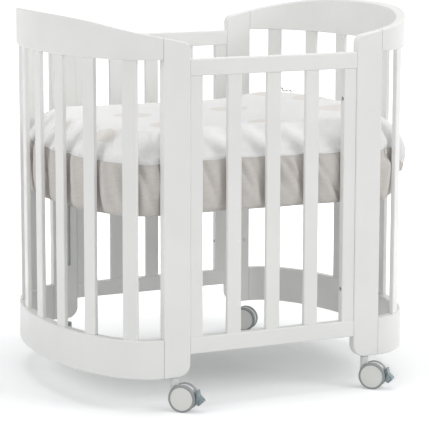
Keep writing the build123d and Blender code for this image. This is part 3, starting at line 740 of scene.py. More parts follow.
def tube(line: np.ndarray, radius: float, closed: bool, sides: int = 8) -> PointsAndFaces:
    """A round cord along a line, with closed ends unless it is a loop.

    Args:
        line: the points of its centreline.
        radius: radius of the cord.
        closed: True for a loop.
        sides: number of points round it.

    Returns:
        Its points and faces.
    """
    count = len(line)
    ahead = np.roll(line, -1, axis=0) - np.roll(line, 1, axis=0)
    if not closed:
        ahead[0], ahead[-1] = line[1] - line[0], line[-1] - line[-2]
    ahead = unit(ahead)
    up = np.tile(np.array([0.0, 0.0, 1.0]), (count, 1))
    steep = np.abs(ahead[:, 2]) > 0.8
    up[steep] = unit(line * np.array([1.0, 1.0, 0.0]))[steep]
    side = unit(np.cross(ahead, up))
    points = line[:, None, :] + radius * around(side, np.cross(side, ahead), sides)
    if not closed:
        return points.reshape(-1, 3), capped_faces(count, sides)
    top = (count - 1) * sides
    join = [(top + i, top + (i + 1) % sides, (i + 1) % sides, i) for i in range(sides)]
    return points.reshape(-1, 3), [*grid_faces(count, sides, closed=True), *join]


def joined(parts: Sequence[PointsAndFaces]) -> PointsAndFaces:
    """Puts several meshes in one.

    Args:
        parts: points and faces of each.

    Returns:
        The points and faces of all of them.
    """
    points, faces, first = [], [], 0
    for part_points, part_faces in parts:
        points.append(part_points)
        faces += [tuple(first + i for i in face) for face in part_faces]
        first += len(part_points)
    return np.concatenate(points), faces


def thread_stitches(
    places: np.ndarray, ahead: np.ndarray, out: np.ndarray, length: float, radius: float
) -> PointsAndFaces:
    """A row of short stitches, each a small pillow of thread.

    Args:
        places: middle of each stitch.
        ahead: its direction.
        out: the cloth's outward direction there.
        length: length of a stitch.
        radius: radius of the thread.

    Returns:
        The points and faces.
    """
    sides = 5
    profile = ((-1.0, 0.35), (-0.5, 1.0), (0.5, 1.0), (1.0, 0.35))  # along it, and its radius there
    round_it = around(np.cross(ahead, out), out, sides)
    rings = [
        places[:, None, :] + ahead[:, None, :] * (length / 2 * share) + radius * width * round_it
        for share, width in profile
    ]
    each = len(profile) * sides
    faces = [face for i in range(len(places)) for face in capped_faces(len(profile), sides, i * each)]
    return np.stack(rings, axis=1).reshape(-1, 3), faces


# --- The wooden body -------------------------------------------------------------------------------


@dataclass
class LacqueredBody:
    """Posts, bowed end rails, slats, side panels and base board, all in the same sprayed lacquer; the
    end rails carry a thin joint line, partly painted shade.
    """

    corners: tuple[str, ...] = ("front_left", "front_right", "rear_left", "rear_right")
    end_parts: tuple[str, ...] = ("top_rail", "lower_rail", "slats")
    side_parts: tuple[str, ...] = ("top_rail", "lower_rail", "slats", "left_stile", "right_stile")

    def nodes(self) -> list[str]:
        """Names the CAD nodes of the wooden body.

        Returns:
            The names.
        """
        names = [f"post_{corner}" for corner in self.corners]
        names += [f"{end}_end_{part}" for end in ("left", "right") for part in self.end_parts]
        names += [f"{side}_{part}" for side in ("front", "rear") for part in self.side_parts]
        return names + ["base_board"]

    def dress(self) -> None:
        """Lacquers every wooden node that shows."""
        for name in self.nodes():
            finish = Stock.LACQUER
            # The end rails get a joint line, partly painted shade, which is darker on the left end's
            # rails than on the right end's.
            if name.endswith(("end_top_rail", "end_lower_rail")):
                left = name.startswith("left")
                finish = Stock.DARK_JOINT_LINE_LACQUER if left else Stock.FAINT_JOINT_LINE_LACQUER
            finish.value.dress(frame["nodes"][name])
            log.info("%s is lacquered", name)


@dataclass
class Fittings:
    """Bolts, nuts, brackets, tracks, dowels, sockets, knobs and the wire hook."""

    finishes: dict[str, Stock] = field(
        default_factory=lambda: {
            "panel_bolts": Stock.STEEL,
            "barrel_nuts": Stock.STEEL,
            "base_brackets": Stock.STEEL,
            "bracket_screws": Stock.STEEL,
            "slider_nuts": Stock.STEEL,
            "wire_hook": Stock.WIRE,
            "caster_sockets": Stock.STEEL,
            "height_tracks": Stock.ALUMINIUM,
            "end_rail_dowels": Stock.BEECH,
            "height_knobs": Stock.NYLON,
            "press_studs": Stock.ACETAL,
        }
    )

    def dress(self) -> None:
        """Gives each fitting its finish."""
        for name, finish in self.finishes.items():
            finish.value.dress(frame["nodes"][name])
            log.info("%s is finished in %s", name, finish.value.name)


@dataclass
class Caster:
    """A twin-wheel caster: hood, stem, axle, two wheels and, on some, a brake pedal."""

    corner: str
    braked: bool

    def dress(self) -> None:
        """Finishes the caster's parts, and each wheel round its own axle."""
        nodes = frame["nodes"]
        Stock.NYLON.value.dress(nodes[f"{self.corner}_housing"])
        Stock.STEEL.value.dress(nodes[f"{self.corner}_stem"], nodes[f"{self.corner}_axle"])
        if self.braked:
            Stock.SMOKED.value.dress(nodes[f"{self.corner}_brake_pedal"])
        for side in ("outer", "inner"):
            roll = next(j for j in frame["joints"] if j["name"] == f"{self.corner}_{side}_roll")
            name, axle = f"two_shot_wheel_{self.corner}_{side}", tuple(roll["axis"])
            finish = TwoShotWheel(name, centre=tuple(roll["pos_m"]), axle=axle)
            finish.dress(nodes[f"{self.corner}_{side}_wheel"])
        log.info("%s caster is finished", self.corner)


# --- The bedding -----------------------------------------------------------------------------------


def hand_over(slot: str, *pieces: bpy.types.Object) -> None:
    """Lets finished pieces ride on the mattress base, and reports them.

    Args:
        slot: the material slot that they stand for; not used.
        pieces: the pieces.
    """
    for piece in pieces:
        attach(piece, "base")
        log.info("%s is made", piece.name)


@dataclass(frozen=True)
class Bulge:
    """A place where the soft cover pushes out between two uprights."""

    gap: int  # counted round the right end, from 0 between the front post and the first slat
    out_mm: float
    down_mm: float  # how far the seam sags there
    height_mm: float  # of its fullest point above the floor
    reach_mm: float  # above and below that
    lean_mm: float = 0.0  # how far round from the middle of the gap it is widest


@dataclass
class CoverShape:
    """The oval that the bedding follows, and how its cloth leaves it.

    Distances round the oval start at the middle of the right end and run to the rear.
    """

    straight: float = POST_REACH  # half of each straight side
    inset: float = 0.0
    samples: int = 2400
    seam: float = 0.5374  # height of the seam of top and skirt
    spine_share: float = 0.62  # length of the line that the rings of a top shrink to, over the whole
    bulges: tuple[Bulge, ...] = (
        Bulge(gap=0, out_mm=9.0, down_mm=0.0, height_mm=498.0, reach_mm=75.0, lean_mm=13.0),
        Bulge(gap=1, out_mm=33.0, down_mm=42.0, height_mm=572.0, reach_mm=45.0),
        Bulge(gap=1, out_mm=12.0, down_mm=0.0, height_mm=505.0, reach_mm=30.0),
        Bulge(gap=2, out_mm=15.0, down_mm=12.0, height_mm=545.0, reach_mm=60.0),
        Bulge(gap=3, out_mm=6.0, down_mm=3.0, height_mm=530.0, reach_mm=50.0),
    )
    sag_reach: float = 0.045  # above and below the seam, where a bulge also sags
    ease: float = 0.0085  # how far loose cloth stands out in the middle of every opening
    ease_height: float = 0.492
    ease_reach: float = 0.075
    held_width: float = 0.018  # how far round from a press stud it holds the cloth in
    held_height: float = 0.019
    left_rise: float = 0.006  # of the seam at the middle of the left end
    left_reach: float = 0.22
    least_gap: float = 0.03  # between two slats
    opening_widths: tuple[float, float] = (0.02, 0.12)  # between any two uprights, least and most
    uprights: tuple[tuple[str, str], ...] = (
        ("post_rear_right", "rear_left_stile"),
        ("post_rear_left", "rear_right_stile"),
        ("post_front_left", "front_left_stile"),
        ("post_front_right", "front_right_stile"),
    )

    def __post_init__(self) -> None:
        """Samples the oval evenly by length, and finds the openings and the press studs."""
        low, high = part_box("cover_skirt")
        self.half_width = high[1] - self.inset
        self.end_reach = high[0] - self.straight - self.inset
        half = 1000  # of the points along an end
        turn = np.linspace(-math.pi / 2, math.pi / 2, 2 * half)
        x = self.straight + self.end_reach * np.cos(turn)
        end = np.stack([x, self.half_width * np.sin(turn)], 1)
        side = np.linspace(self.straight, -self.straight, half)[1:-1]
        rear = np.stack([side, np.full_like(side, self.half_width)], 1)
        loop = np.roll(np.concatenate([end, rear, -end, -rear]), -half, axis=0)
        loop = np.concatenate([loop, loop[:1]])
        lengths = np.concatenate([[0], np.cumsum(np.linalg.norm(np.diff(loop, axis=0), axis=1))])
        self.perimeter = float(lengths[-1])
        even = np.linspace(0, self.perimeter, self.samples, endpoint=False)
        self.line = np.stack([np.interp(even, lengths, loop[:, i]) for i in range(2)], 1)
        ahead = unit(np.roll(self.line, -1, 0) - np.roll(self.line, 1, 0))
        self.normals = np.stack([ahead[:, 1], -ahead[:, 0]], 1)
        self.nearest = KDTree(self.samples)
        for i, (x, y) in enumerate(self.line):
            self.nearest.insert((x, y, 0.0), i)
        self.nearest.balance()
        self.openings = self._openings()
        first = tuple(edge - self.perimeter for edge in self.openings[-1])
        self.gaps = [first, *self._slat_gaps("right_end_slats")]
        low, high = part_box("press_studs")
        self.stud_height = (low[2] + high[2]) / 2
        studs = self._span_of("press_studs") % self.perimeter
        self.studs = [float(part.mean()) for part in np.split(np.sort(studs), [len(studs) // 2])]

    def at(self, distance: np.ndarray) -> tuple[np.ndarray, np.ndarray]:
        """Points on the oval and the outward directions there.

        Args:
            distance: distances round the oval.

        Returns:
            Points and outward directions, as rows of x and y.
        """
        place = (np.asarray(distance, float) % self.perimeter) / self.perimeter * self.samples
        low = np.floor(place).astype(int) % self.samples
        share = (place - np.floor(place))[:, None]
        high = (low + 1) % self.samples
        points = self.line[low] * (1 - share) + self.line[high] * share
        return points, unit(self.normals[low] * (1 - share) + self.normals[high] * share)

    def spine(self, edge: np.ndarray) -> np.ndarray:
        """Gives the points of the line along the middle that points of the outline shrink to."""
        return np.stack([edge[:, 0] * self.spine_share, np.zeros(len(edge))], 1)

    def distance_of(self, points: np.ndarray) -> tuple[np.ndarray, np.ndarray]:
        """How far round the oval points are, and how far inside it.

        Args:
            points: rows of x and y.

        Returns:
            Distances round the oval and depths inside it.
        """
        found = np.array([self.nearest.find((x, y, 0.0))[1] for x, y in points])
        depth = -((points - self.line[found]) * self.normals[found]).sum(1)
        return found / self.samples * self.perimeter, depth

    def apart(self, distance: np.ndarray, place: float) -> np.ndarray:
        """Gives how far round the oval points are from a place, the shorter way."""
        return (distance - place + self.perimeter / 2) % self.perimeter - self.perimeter / 2

    def _span_of(self, name: str) -> np.ndarray:
        """Gives how far round the oval a node's vertices are, counted from its own side.

        Args:
            name: the node.

        Returns:
            The distances, in order.
        """
        distance, _ = self.distance_of(np.array([v.co[:2] for v in frame["nodes"][name].data.vertices]))
        if name.startswith("right"):
            distance = np.where(distance > self.perimeter / 2, distance - self.perimeter, distance)
        return np.sort(distance)

    def _slat_gaps(self, name: str) -> list[tuple[float, float]]:
        """Finds the spaces between the slats of one side.

        Args:
            name: the node of the slats.

        Returns:
            The start and end of each space, as distances round the oval.
        """
        distance = self._span_of(name)
        breaks = np.nonzero(np.diff(distance) > self.least_gap)[0]
        return [(float(distance[i]), float(distance[i + 1])) for i in breaks]

    def _openings(self) -> list[tuple[float, float]]:
        """Finds every opening between two uprights, all the way round.

        Returns:
            The start and end of each, as distances round the oval.
        """
        found, edges = [], []
        for side in ("right_end", "rear", "left_end", "front"):
            span = self._span_of(f"{side}_slats")
            found += self._slat_gaps(f"{side}_slats")
            edges += [float(span[0]), float(span[-1])]
        for corner, pair in enumerate(self.uprights):
            spans = np.concatenate([self._span_of(name) for name in pair])
            before = edges[2 * corner + 1]
            after = edges[(2 * corner + 2) % len(edges)]
            after += self.perimeter if after < before else 0.0
            found += [(before, float(spans.min())), (float(spans.max()), after)]
        least, most = self.opening_widths
        return [pair for pair in found if least < pair[1] - pair[0] < most]

    def bulging(self, distance: np.ndarray, height: np.ndarray) -> tuple[np.ndarray, np.ndarray]:
        """How far the cloth pushes out and sags between the slats.

        Args:
            distance: distances round the oval.
            height: heights above the floor.

        Returns:
            Outward and downward shifts.
        """
        signed = np.where(distance > self.perimeter / 2, distance - self.perimeter, distance)
        out, down = np.zeros_like(signed), np.zeros_like(signed)
        for bulge in self.bulges:
            start, end = self.gaps[bulge.gap]
            across = (signed - (start + end) / 2 - bulge.lean_mm * MM) / ((end - start) / 2 - 1.0 * MM)
            window = np.clip(1 - np.abs(across) ** 2.5, 0, None)
            level = hump((height - bulge.height_mm * MM) / (bulge.reach_mm * MM))
            sagging = hump((height - self.seam) / self.sag_reach)
            out += bulge.out_mm * MM * window * level
            down += bulge.down_mm * MM * window * sagging
        level = hump((height - self.ease_height) / self.ease_reach)
        for start, end in self.openings:
            across = self.apart(distance, (start + end) / 2) / ((end - start) / 2 + 4.0 * MM)
            out += self.ease * level * np.clip(1 - np.abs(across) ** 2.2, 0, None)
        above = (height - self.stud_height) / self.held_height
        for stud in self.studs:
            out *= 1 - np.exp(-((self.apart(distance, stud) / self.held_width) ** 4) - above**4)
        return out, down

    def seam_lift(self, distance: np.ndarray) -> np.ndarray:
        """How far the seam runs above its mean level, as it does in cloth that no frame holds.

        Args:
            distance: distances round the oval.

        Returns:
            The rise at each distance.
        """
        turn = 2 * math.pi * distance / self.perimeter
        left_end = self.left_rise * hump((distance - self.perimeter / 2) / self.left_reach)
        waver = 1.6 * np.sin(3 * turn + 0.4) + 0.9 * np.sin(7 * turn + 2.0) + 0.5 * np.sin(17 * turn)
        return left_end + waver * MM


@dataclass
class Mattress:
    """A foam mattress in quilted ticking, piped round both edges."""

    edge_round: float = 0.016
    clearance: float = 0.0005  # to the board below it and the cover round it
    fill: float = 0.9
    piping_radius: float = 0.0025
    columns: int = 260

    def build(self) -> None:
        """Makes the mattress and its piping."""
        low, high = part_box("mattress")
        shape = CoverShape(inset=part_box("cover_skirt")[1][1] - high[1] + self.clearance)
        edge, out = shape.at(np.linspace(0, shape.perimeter, self.columns, endpoint=False))
        toward = shape.spine(edge) - edge
        reach = np.linalg.norm(toward, axis=1)[:, None]
        bottom, top, turn = low[2] + self.clearance, high[2] - self.clearance, self.edge_round
        arc = np.linspace(0, math.pi / 2, 7)
        # Each ring's share of the way in, and its height.
        rings: list[tuple[Any, float]] = [(0.9, bottom), (0.5, bottom)]
        rings += [(turn * (1 - math.sin(a)) / reach, bottom + turn * (1 - math.cos(a))) for a in arc]
        rings += [(0.0, z) for z in np.linspace(bottom + turn, top - turn, 8)[1:-1]]
        rings += [(turn * (1 - math.cos(a)) / reach, top - turn * (1 - math.sin(a))) for a in arc]
        rings += [(0.5, top), (0.9, top)]
        rows = [np.column_stack([edge + toward * share, np.full(len(edge), z)]) for share, z in rings]
        body = make_object("mattress_body", np.concatenate(rows), capped_faces(len(rows), self.columns))
        pipes = []
        for z in (bottom + turn * 0.5, top - turn * 0.5):
            line = np.column_stack([edge - out * (turn * 0.3), np.full(len(edge), z)])
            pipes.append(tube(line, self.piping_radius, closed=True))
        piping = make_object("mattress_piping", *joined(pipes))
        Stock.TICKING.value.dress(body)
        Stock.LINEN.value.dress(piping)
        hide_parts("mattress")
        hand_over("mattress_ticking", body, piping)


@dataclass
class QuiltedTop:
    """The padded white top of the cover: a crowned quilt that drops round the mattress to the seam."""

    shape: CoverShape
    fill: float = 0.7
    crown_height: float = 0.5945
    crown_fall: float = 0.003  # from the middle of the top to where its edge begins
    right_end_rise: float = 0.013
    rise_from: float = 0.12  # along X, where the top starts to rise to the right end
    rise_run: float = 0.2
    innermost: float = 0.97  # share of the way in from the outline to the line along the middle
    edge_run: float = 0.078  # from the outline in to where the quilt is nearly level
    edge_fullness: float = 2.25
    wall: float = 0.0118  # thickness of the side, above the skirt
    side_share: float = 0.6  # of that thickness, which counts as the outside
    columns: int = 300
    voxel: float = 0.0055  # size of the remeshed quilt's faces
    pressure: float = 4.0
    slack: float = 0.014  # of extra cloth, which puckers near the seam
    frames: int = 20
    cap: float = 0.009  # the furthest that the filling moves the cloth
    level_swell: float = 0.003  # the furthest that it lifts the level top
    near_run: float = 0.085  # from the outline in to where the cloth no longer bulges or sags
    lift_run: float = 0.055  # from the seam up to where the cloth no longer follows its run
    dimple: float = 0.0013  # depth of the dimples above the seam
    dimple_at: float = 0.016  # their height above it
    dimple_reach: float = 0.015
    welt_radius: float = 0.0015

    def _rings(self, edge: np.ndarray) -> np.ndarray:
        """Lays the quilt's rings, from the middle of its top to the seam and back in underneath.

        Args:
            edge: the outline, as rows of x and y.

        Returns:
            An array of rings, each with a row of x, y, z for each point.
        """
        seam = self.shape.seam + 0.4 * MM
        toward = self.shape.spine(edge) - edge
        reach = np.linalg.norm(toward, axis=1)
        right = eased(np.clip((edge[:, 0] - self.rise_from) / self.rise_run, 0, 1))
        crown = self.crown_height + self.right_end_rise * right
        rise = crown - self.crown_fall - seam
        rings = []

        def ring(depth: np.ndarray | float, height: np.ndarray | float) -> None:
            """Adds the ring that lies at a depth inside the outline and at a height."""
            flat = edge + toward * (np.minimum(depth, reach * self.innermost) / reach)[:, None]
            rings.append(np.column_stack([flat, np.broadcast_to(height, len(edge))]))

        for share in np.linspace(self.innermost, 0.0, 14, endpoint=False):
            inner = self.edge_run + (reach - self.edge_run) * share
            ring(inner, crown - self.crown_fall * (1 - share) ** 2)
        for angle in np.linspace(math.pi / 2, 0.0, 18):
            run = 1 - max(math.cos(angle), 1e-9) ** (2 / self.edge_fullness)
            up = max(math.sin(angle), 0.0) ** (2 / self.edge_fullness)
            ring(self.edge_run * run, seam + rise * up)
        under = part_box("mattress")[1][2] + 0.6 * MM
        ring(self.wall * 0.5, seam)
        for height in (seam, (seam + under) / 2, under):
            ring(self.wall, height)
        for share in np.linspace(0.1, self.innermost, 12):
            ring(self.wall + (reach - self.wall) * share, under)
        return np.stack(rings)

    def _inflate(self, obj: bpy.types.Object) -> None:
        """Fills the quilt with a cloth simulation, held along its seam and underneath.

        Args:
            obj: the remeshed quilt.
        """
        rest = np.array([v.co for v in obj.data.vertices])
        _, depth = self.shape.distance_of(rest[:, :2])
        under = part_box("mattress")[1][2] + 4 * MM
        below = (rest[:, 2] < under) & (depth > self.wall * self.side_share)
        held = (rest[:, 2] < self.shape.seam + 4 * MM) | below
        group = obj.vertex_groups.new(name="held")
        group.add([int(i) for i in np.nonzero(held)[0]], 1.0, "REPLACE")
        cloth = obj.modifiers.new("filling", "CLOTH")
        settings = cloth.settings
        settings.vertex_group_mass = "held"
        settings.quality = 4
        settings.use_pressure = True
        settings.uniform_pressure_force = self.pressure
        settings.shrink_min = -self.slack
        settings.tension_stiffness = 12
        settings.compression_stiffness = 6
        settings.bending_stiffness = 2.5
        settings.effector_weights.gravity = 0
        cloth.collision_settings.use_collision = False
        cloth.point_cache.frame_start, cloth.point_cache.frame_end = 1, self.frames
        for step in range(1, self.frames + 1):
            bpy.context.scene.frame_set(step)
        filled = obj.evaluated_get(bpy.context.evaluated_depsgraph_get())
        moved = np.array([v.co for v in filled.data.vertices]) - rest
        obj.modifiers.remove(cloth)
        bpy.context.scene.frame_set(1)
        far = np.linalg.norm(moved, axis=1)
        moved *= np.minimum(1, self.cap / np.maximum(far, 1e-9))[:, None]
        moved[held] = 0
        level = np.clip((depth - self.edge_run) / 0.05, 0, 1)
        up = moved[:, 2]
        moved[:, 2] = np.where(up > 0, up * (1 - level) + np.minimum(up, self.level_swell) * level, up)
        obj.data.vertices.foreach_set("co", (rest + moved).astype(np.float32).ravel())
        log.info("quilt filled: %.1f mm at most, %.1f mm on average", far.max() / MM, far.mean() / MM)

    def _settle(self, obj: bpy.types.Object) -> None:
        """Lets the quilt follow the seam's run, push out between the slats, and dimple above the seam.

        Args:
            obj: the filled quilt.
        """
        points = np.array([v.co for v in obj.data.vertices])
        distance, depth = self.shape.distance_of(points[:, :2])
        _, out_way = self.shape.at(distance)
        near = eased(np.clip(1 - depth / self.near_run, 0, 1))
        out, down = self.shape.bulging(distance, points[:, 2])
        above = np.clip((points[:, 2] - self.shape.seam) / self.lift_run, 0, 1)
        lift = self.shape.seam_lift(distance) * (1 - above)
        turn = 2 * math.pi * distance / self.shape.perimeter
        puffs = np.sin(37 * turn + 1.5 * np.sin(5 * turn))
        puffs += 0.6 * np.sin(61 * turn + 2.0 * np.sin(3 * turn + 1.0))
        height = points[:, 2] - self.shape.seam - self.dimple_at
        dimple = self.dimple * puffs * hump(height / self.dimple_reach)
        side = (depth < self.wall * self.side_share).astype(float)
        points[:, :2] += out_way * ((out * near) + dimple * side)[:, None]
        points[:, 2] += lift * near - down * near
        obj.data.vertices.foreach_set("co", points.astype(np.float32).ravel())
        obj.data.update()

    def build(self) -> None:
        """Makes the quilt and the welt along its seam."""
        distance = np.linspace(0, self.shape.perimeter, self.columns, endpoint=False)
        edge, out = self.shape.at(distance)
        rings = self._rings(edge - out * (0.5 * MM))
        # The remesh turns every face outwards, whichever way the caps run.
        faces = grid_faces(len(rings), self.columns, closed=True)
        last = (len(rings) - 1) * self.columns
        faces += [tuple(range(self.columns)), tuple(reversed(range(last, last + self.columns)))]
        quilt = make_object("quilted_top", rings.reshape(-1, 3), faces)
        remesh = quilt.modifiers.new("remesh", "REMESH")
        remesh.mode, remesh.voxel_size, remesh.use_smooth_shade = "VOXEL", self.voxel, True
        meshed = quilt.evaluated_get(bpy.context.evaluated_depsgraph_get())
        fine = bpy.data.meshes.new_from_object(meshed)
        quilt.modifiers.clear()
        quilt.data = fine
        self._inflate(quilt)
        self._settle(quilt)
        quilt.data.shade_smooth()
        quilt.modifiers.new("fine", "SUBSURF").render_levels = 1
        Stock.SHEETING.value.dress(quilt)
        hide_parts("cover_top")
        welt = make_object("seam_welt", *tube(self._seam_line(), self.welt_radius, closed=True))
        Stock.PLAIN_SHEETING.value.dress(welt)
        hand_over("white_cotton", quilt, welt)

    def _seam_line(self) -> np.ndarray:
        """Gives the line of the seam round the cover.

        Returns:
            Rows of x, y, z.
        """
        distance = np.linspace(0, self.shape.perimeter, 700, endpoint=False)
        points, out_way = self.shape.at(distance)
        height = np.full(len(points), self.shape.seam)
        out, down = self.shape.bulging(distance, height)
        points = points + out_way * (out - 1.5 * MM)[:, None]
        return np.column_stack([points, height + 0.9 * MM + self.shape.seam_lift(distance) - down])


@dataclass(frozen=True)
class Fold:
    """A soft fold that runs down the skirt on a slant."""

    start: float  # distance round the oval at the seam
    slant: float  # how much further round it is at the hem
    height: float
    width: float
    end: float  # share of the way down where it runs out


@dataclass
class Skirt:
    """The beige skirt, with a rolled hem and rows of stitches.

    Its two panels lap over each other at the press studs.
    """

    shape: CoverShape
    lap: float = 0.009  # of each panel past a stud
    cloth: float = 0.0012  # its thickness
    back: float = 0.0012  # of the cloth's middle inside the outline
    stud_depth: float = 0.0014  # further inside under a stud, where two panels lap
    step: float = 0.0042
    rows: int = 30
    hem_radius: float = 0.0013
    stitch_pitch: float = 0.0048
    stitch_length: float = 0.0033
    tuck: float = 0.0045  # how far the hem turns in
    tuck_from: float = 0.86  # share of the way down where it starts to
    folds_per_metre: float = 24.0
    fold_scatter: float = 0.4
    fold_slant: tuple[float, float] = (0.045, 0.095)  # least and most, as are the next three
    fold_height_mm: tuple[float, float] = (3.0, 7.0)
    fold_width: tuple[float, float] = (0.006, 0.012)
    fold_end: tuple[float, float] = (0.7, 1.3)  # share of the way down where it runs out
    fold_rise: float = 0.12  # share of the way down over which it begins
    fold_fade: float = 0.35  # and over which it runs out
    hollow_depth: float = 0.9  # of the hollow beside a fold, over the fold's height
    hollow_away: float = 1.7  # from the fold, over its width
    upright_at: float = 0.55  # share of the way round where the folds hang straight
    upright_reach: float = 0.13
    belly: float = 0.0014  # how far the cloth stands out half-way down
    deepest: float = -0.0065  # limits of folds and wrinkles, inwards and outwards
    highest: float = 0.0045
    wrinkle: float = 0.0012
    wrinkle_length: float = 0.016
    gathers: float = 0.0009  # height of the close gathers under the seam
    gathers_at: float = 0.62  # of the way round
    gathers_reach: float = 0.10
    gathers_round: int = 250  # how many would fit all the way round
    gathers_drop: float = 0.22  # share of the way down by which they have mostly gone
    stitch_rows: tuple[float, ...] = (0.035, 0.955)  # how far down the skirt they run
    thread_radius: float = 0.00035

    def __post_init__(self) -> None:
        """Sets out the skirt's bottom and the folds."""
        self.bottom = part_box("cover_skirt")[0][2] + 1.0 * MM
        chance = random.Random(11)
        count = int(self.shape.perimeter * self.folds_per_metre)
        self.folds = []
        for i in range(count):
            shift = chance.uniform(-self.fold_scatter, self.fold_scatter)
            start = (i + shift) * self.shape.perimeter / count
            upright = hump((start / self.shape.perimeter - self.upright_at) / self.upright_reach)
            fold = Fold(
                start=start - 0.02,
                slant=chance.uniform(*self.fold_slant) * (1 - 0.85 * float(upright)),
                height=chance.uniform(*self.fold_height_mm) * MM,
                width=chance.uniform(*self.fold_width),
                end=chance.uniform(*self.fold_end),
            )
            self.folds.append(fold)

    def surface(self, distance: np.ndarray, drop: np.ndarray, lapping: np.ndarray) -> np.ndarray:
        """Places points of the cloth.

        Args:
            distance: distances round the oval.
            drop: how far down the skirt they are, from 0 to 1.
            lapping: how far each lies on top of the next panel, from 0 to 1.

        Returns:
            Rows of x, y, z.
        """
        points, out_way = self.shape.at(distance)
        distance = distance % self.shape.perimeter
        top = self.shape.seam + 1.0 * MM
        height = top + (self.bottom - top) * drop
        hang = np.sin(np.clip(drop, 0, 1) * math.pi) ** 0.8
        tucked = np.clip((drop - self.tuck_from) / (1 - self.tuck_from), 0, 1) ** 2
        swell = self.belly * hang - self.tuck * tucked
        for fold in self.folds:
            away = self.shape.apart(distance, fold.start + fold.slant * drop)
            width = fold.width * (0.7 + 0.6 * drop)
            fade = np.clip(drop / self.fold_rise, 0, 1)
            fade = fade * np.clip((fold.end - drop) / self.fold_fade, 0, 1)
            hollow = self.hollow_depth * hump(away / width - self.hollow_away)
            swell = swell + fold.height * fade * (hump(away / width) - hollow)
        turn = 2 * math.pi * distance / self.shape.perimeter
        gathered = hump((distance - self.shape.perimeter * self.gathers_at) / self.gathers_reach)
        fade = np.exp(-drop / self.gathers_drop) * np.clip(drop / 0.03, 0, 1)
        swell = swell + gathered * self.gathers * np.sin(self.gathers_round * turn) * fade
        clear = np.ones_like(distance)
        for stud in self.shape.studs:
            clear *= 1 - np.exp(-((self.shape.apart(distance, stud) / self.shape.held_width) ** 4))
        swell = swell + self._wrinkles(distance, drop)
        swell = np.clip(swell, self.deepest, self.highest) * clear
        swell = swell - self.back - self.stud_depth * (1 - clear)
        out, down = self.shape.bulging(distance, height)
        lift = self.shape.seam_lift(distance) * (1 - drop) + 0.8 * MM * drop * np.sin(23 * turn + 1)
        away_out = out + swell + lapping * (self.cloth + 0.7 * MM)
        return np.column_stack([points + out_way * away_out[:, None], height + lift - down])

    def _wrinkles(self, distance: np.ndarray, drop: np.ndarray) -> np.ndarray:
        """Small uneven wrinkles that run on the slant of the folds.

        Args:
            distance: distances round the oval.
            drop: how far down the skirt they are, from 0 to 1.

        Returns:
            Outward shifts.
        """
        turn = 2 * math.pi * distance / self.shape.perimeter
        radius = self.shape.perimeter / (2 * math.pi) / self.wrinkle_length
        leaned = turn - 4.0 * drop / radius
        places = zip(radius * np.cos(leaned), radius * np.sin(leaned), 1.3 * drop)
        depth = np.array([noise.noise(Vector(place)) for place in places])
        return self.wrinkle * depth * np.clip(drop / 0.15, 0, 1) * np.clip((1.02 - drop) / 0.15, 0, 1)

    def _panel(self, start: float, end: float) -> tuple[np.ndarray, np.ndarray]:
        """Sets out one panel's columns.

        Args:
            start: distance of the stud where it lies under.
            end: distance of the stud where it lies on top.

        Returns:
            Distances of the columns, and how far each lies on top of the next panel.
        """
        count = max(int((end - start) / self.step), 4)
        distance = np.linspace(start - self.lap, end + self.lap, count)
        over = np.clip((distance - (end - 2.6 * self.lap)) / (1.2 * self.lap), 0, 1)
        return distance, eased(over)

    def _spans(self) -> list[tuple[float, float]]:
        """Gives the start and end of each panel."""
        studs = self.shape.studs
        return list(zip(studs, [*studs[1:], studs[0] + self.shape.perimeter]))

    def _row(
        self, distance: np.ndarray, over: np.ndarray, drop: float
    ) -> tuple[np.ndarray, np.ndarray, np.ndarray]:
        """Follows the cloth along one level.

        Args:
            distance: distances round the oval.
            over: how far each lies on top of the next panel.
            drop: how far down, from 0 to 1.

        Returns:
            Points, directions along the row, and outward directions.
        """
        level = np.full(len(distance), drop)
        points = self.surface(distance, level, over)
        ahead = unit(np.gradient(points, axis=0))
        down = self.surface(distance, level + 0.01, over) - points
        out = unit(np.cross(down, ahead))
        _, way = self.shape.at(distance)
        out *= np.sign((out[:, :2] * way).sum(1))[:, None]
        return points, ahead, out

    def build(self) -> None:
        """Makes the skirt, its rolled hem and its stitches."""
        sheets, hems, seams = [], [], []
        drops = np.linspace(0, 1, self.rows)
        for start, end in self._spans():
            distance, over = self._panel(start, end)
            columns = len(distance)
            cells = np.stack([self.surface(distance, np.full(columns, drop), over) for drop in drops])
            faces = [tuple(reversed(face)) for face in grid_faces(self.rows, columns)]
            sheets.append((cells.reshape(-1, 3), faces))
            border = np.concatenate([cells[2:, 0], cells[-1, 1:-1], cells[2:, -1][::-1]])
            hems.append(tube(border, self.hem_radius, closed=False, sides=7))
            even = np.arange(start, end, self.stitch_pitch)
            fine_over = np.interp(even, distance, over)
            for drop in self.stitch_rows:
                points, ahead, out = self._row(even, fine_over, drop)
                places = points + out * (self.cloth / 2 + 0.15 * MM)
                thread = (self.stitch_length, self.thread_radius)
                seams.append(thread_stitches(places, ahead, out, *thread))
        skirt = make_object("skirt", *joined(sheets))
        skirt.modifiers.new("cloth", "SOLIDIFY").thickness = self.cloth
        skirt.modifiers["cloth"].offset = 0.0
        hem = make_object("skirt_hem", *joined(hems))
        stitches = make_object("skirt_stitches", *joined(seams))
        Stock.LINEN.value.dress(skirt, hem, stitches)
        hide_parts("cover_skirt")
        hand_over("beige_linen", skirt, hem, stitches)


# --- Floor, lights and camera ----------------------------------------------------------------------


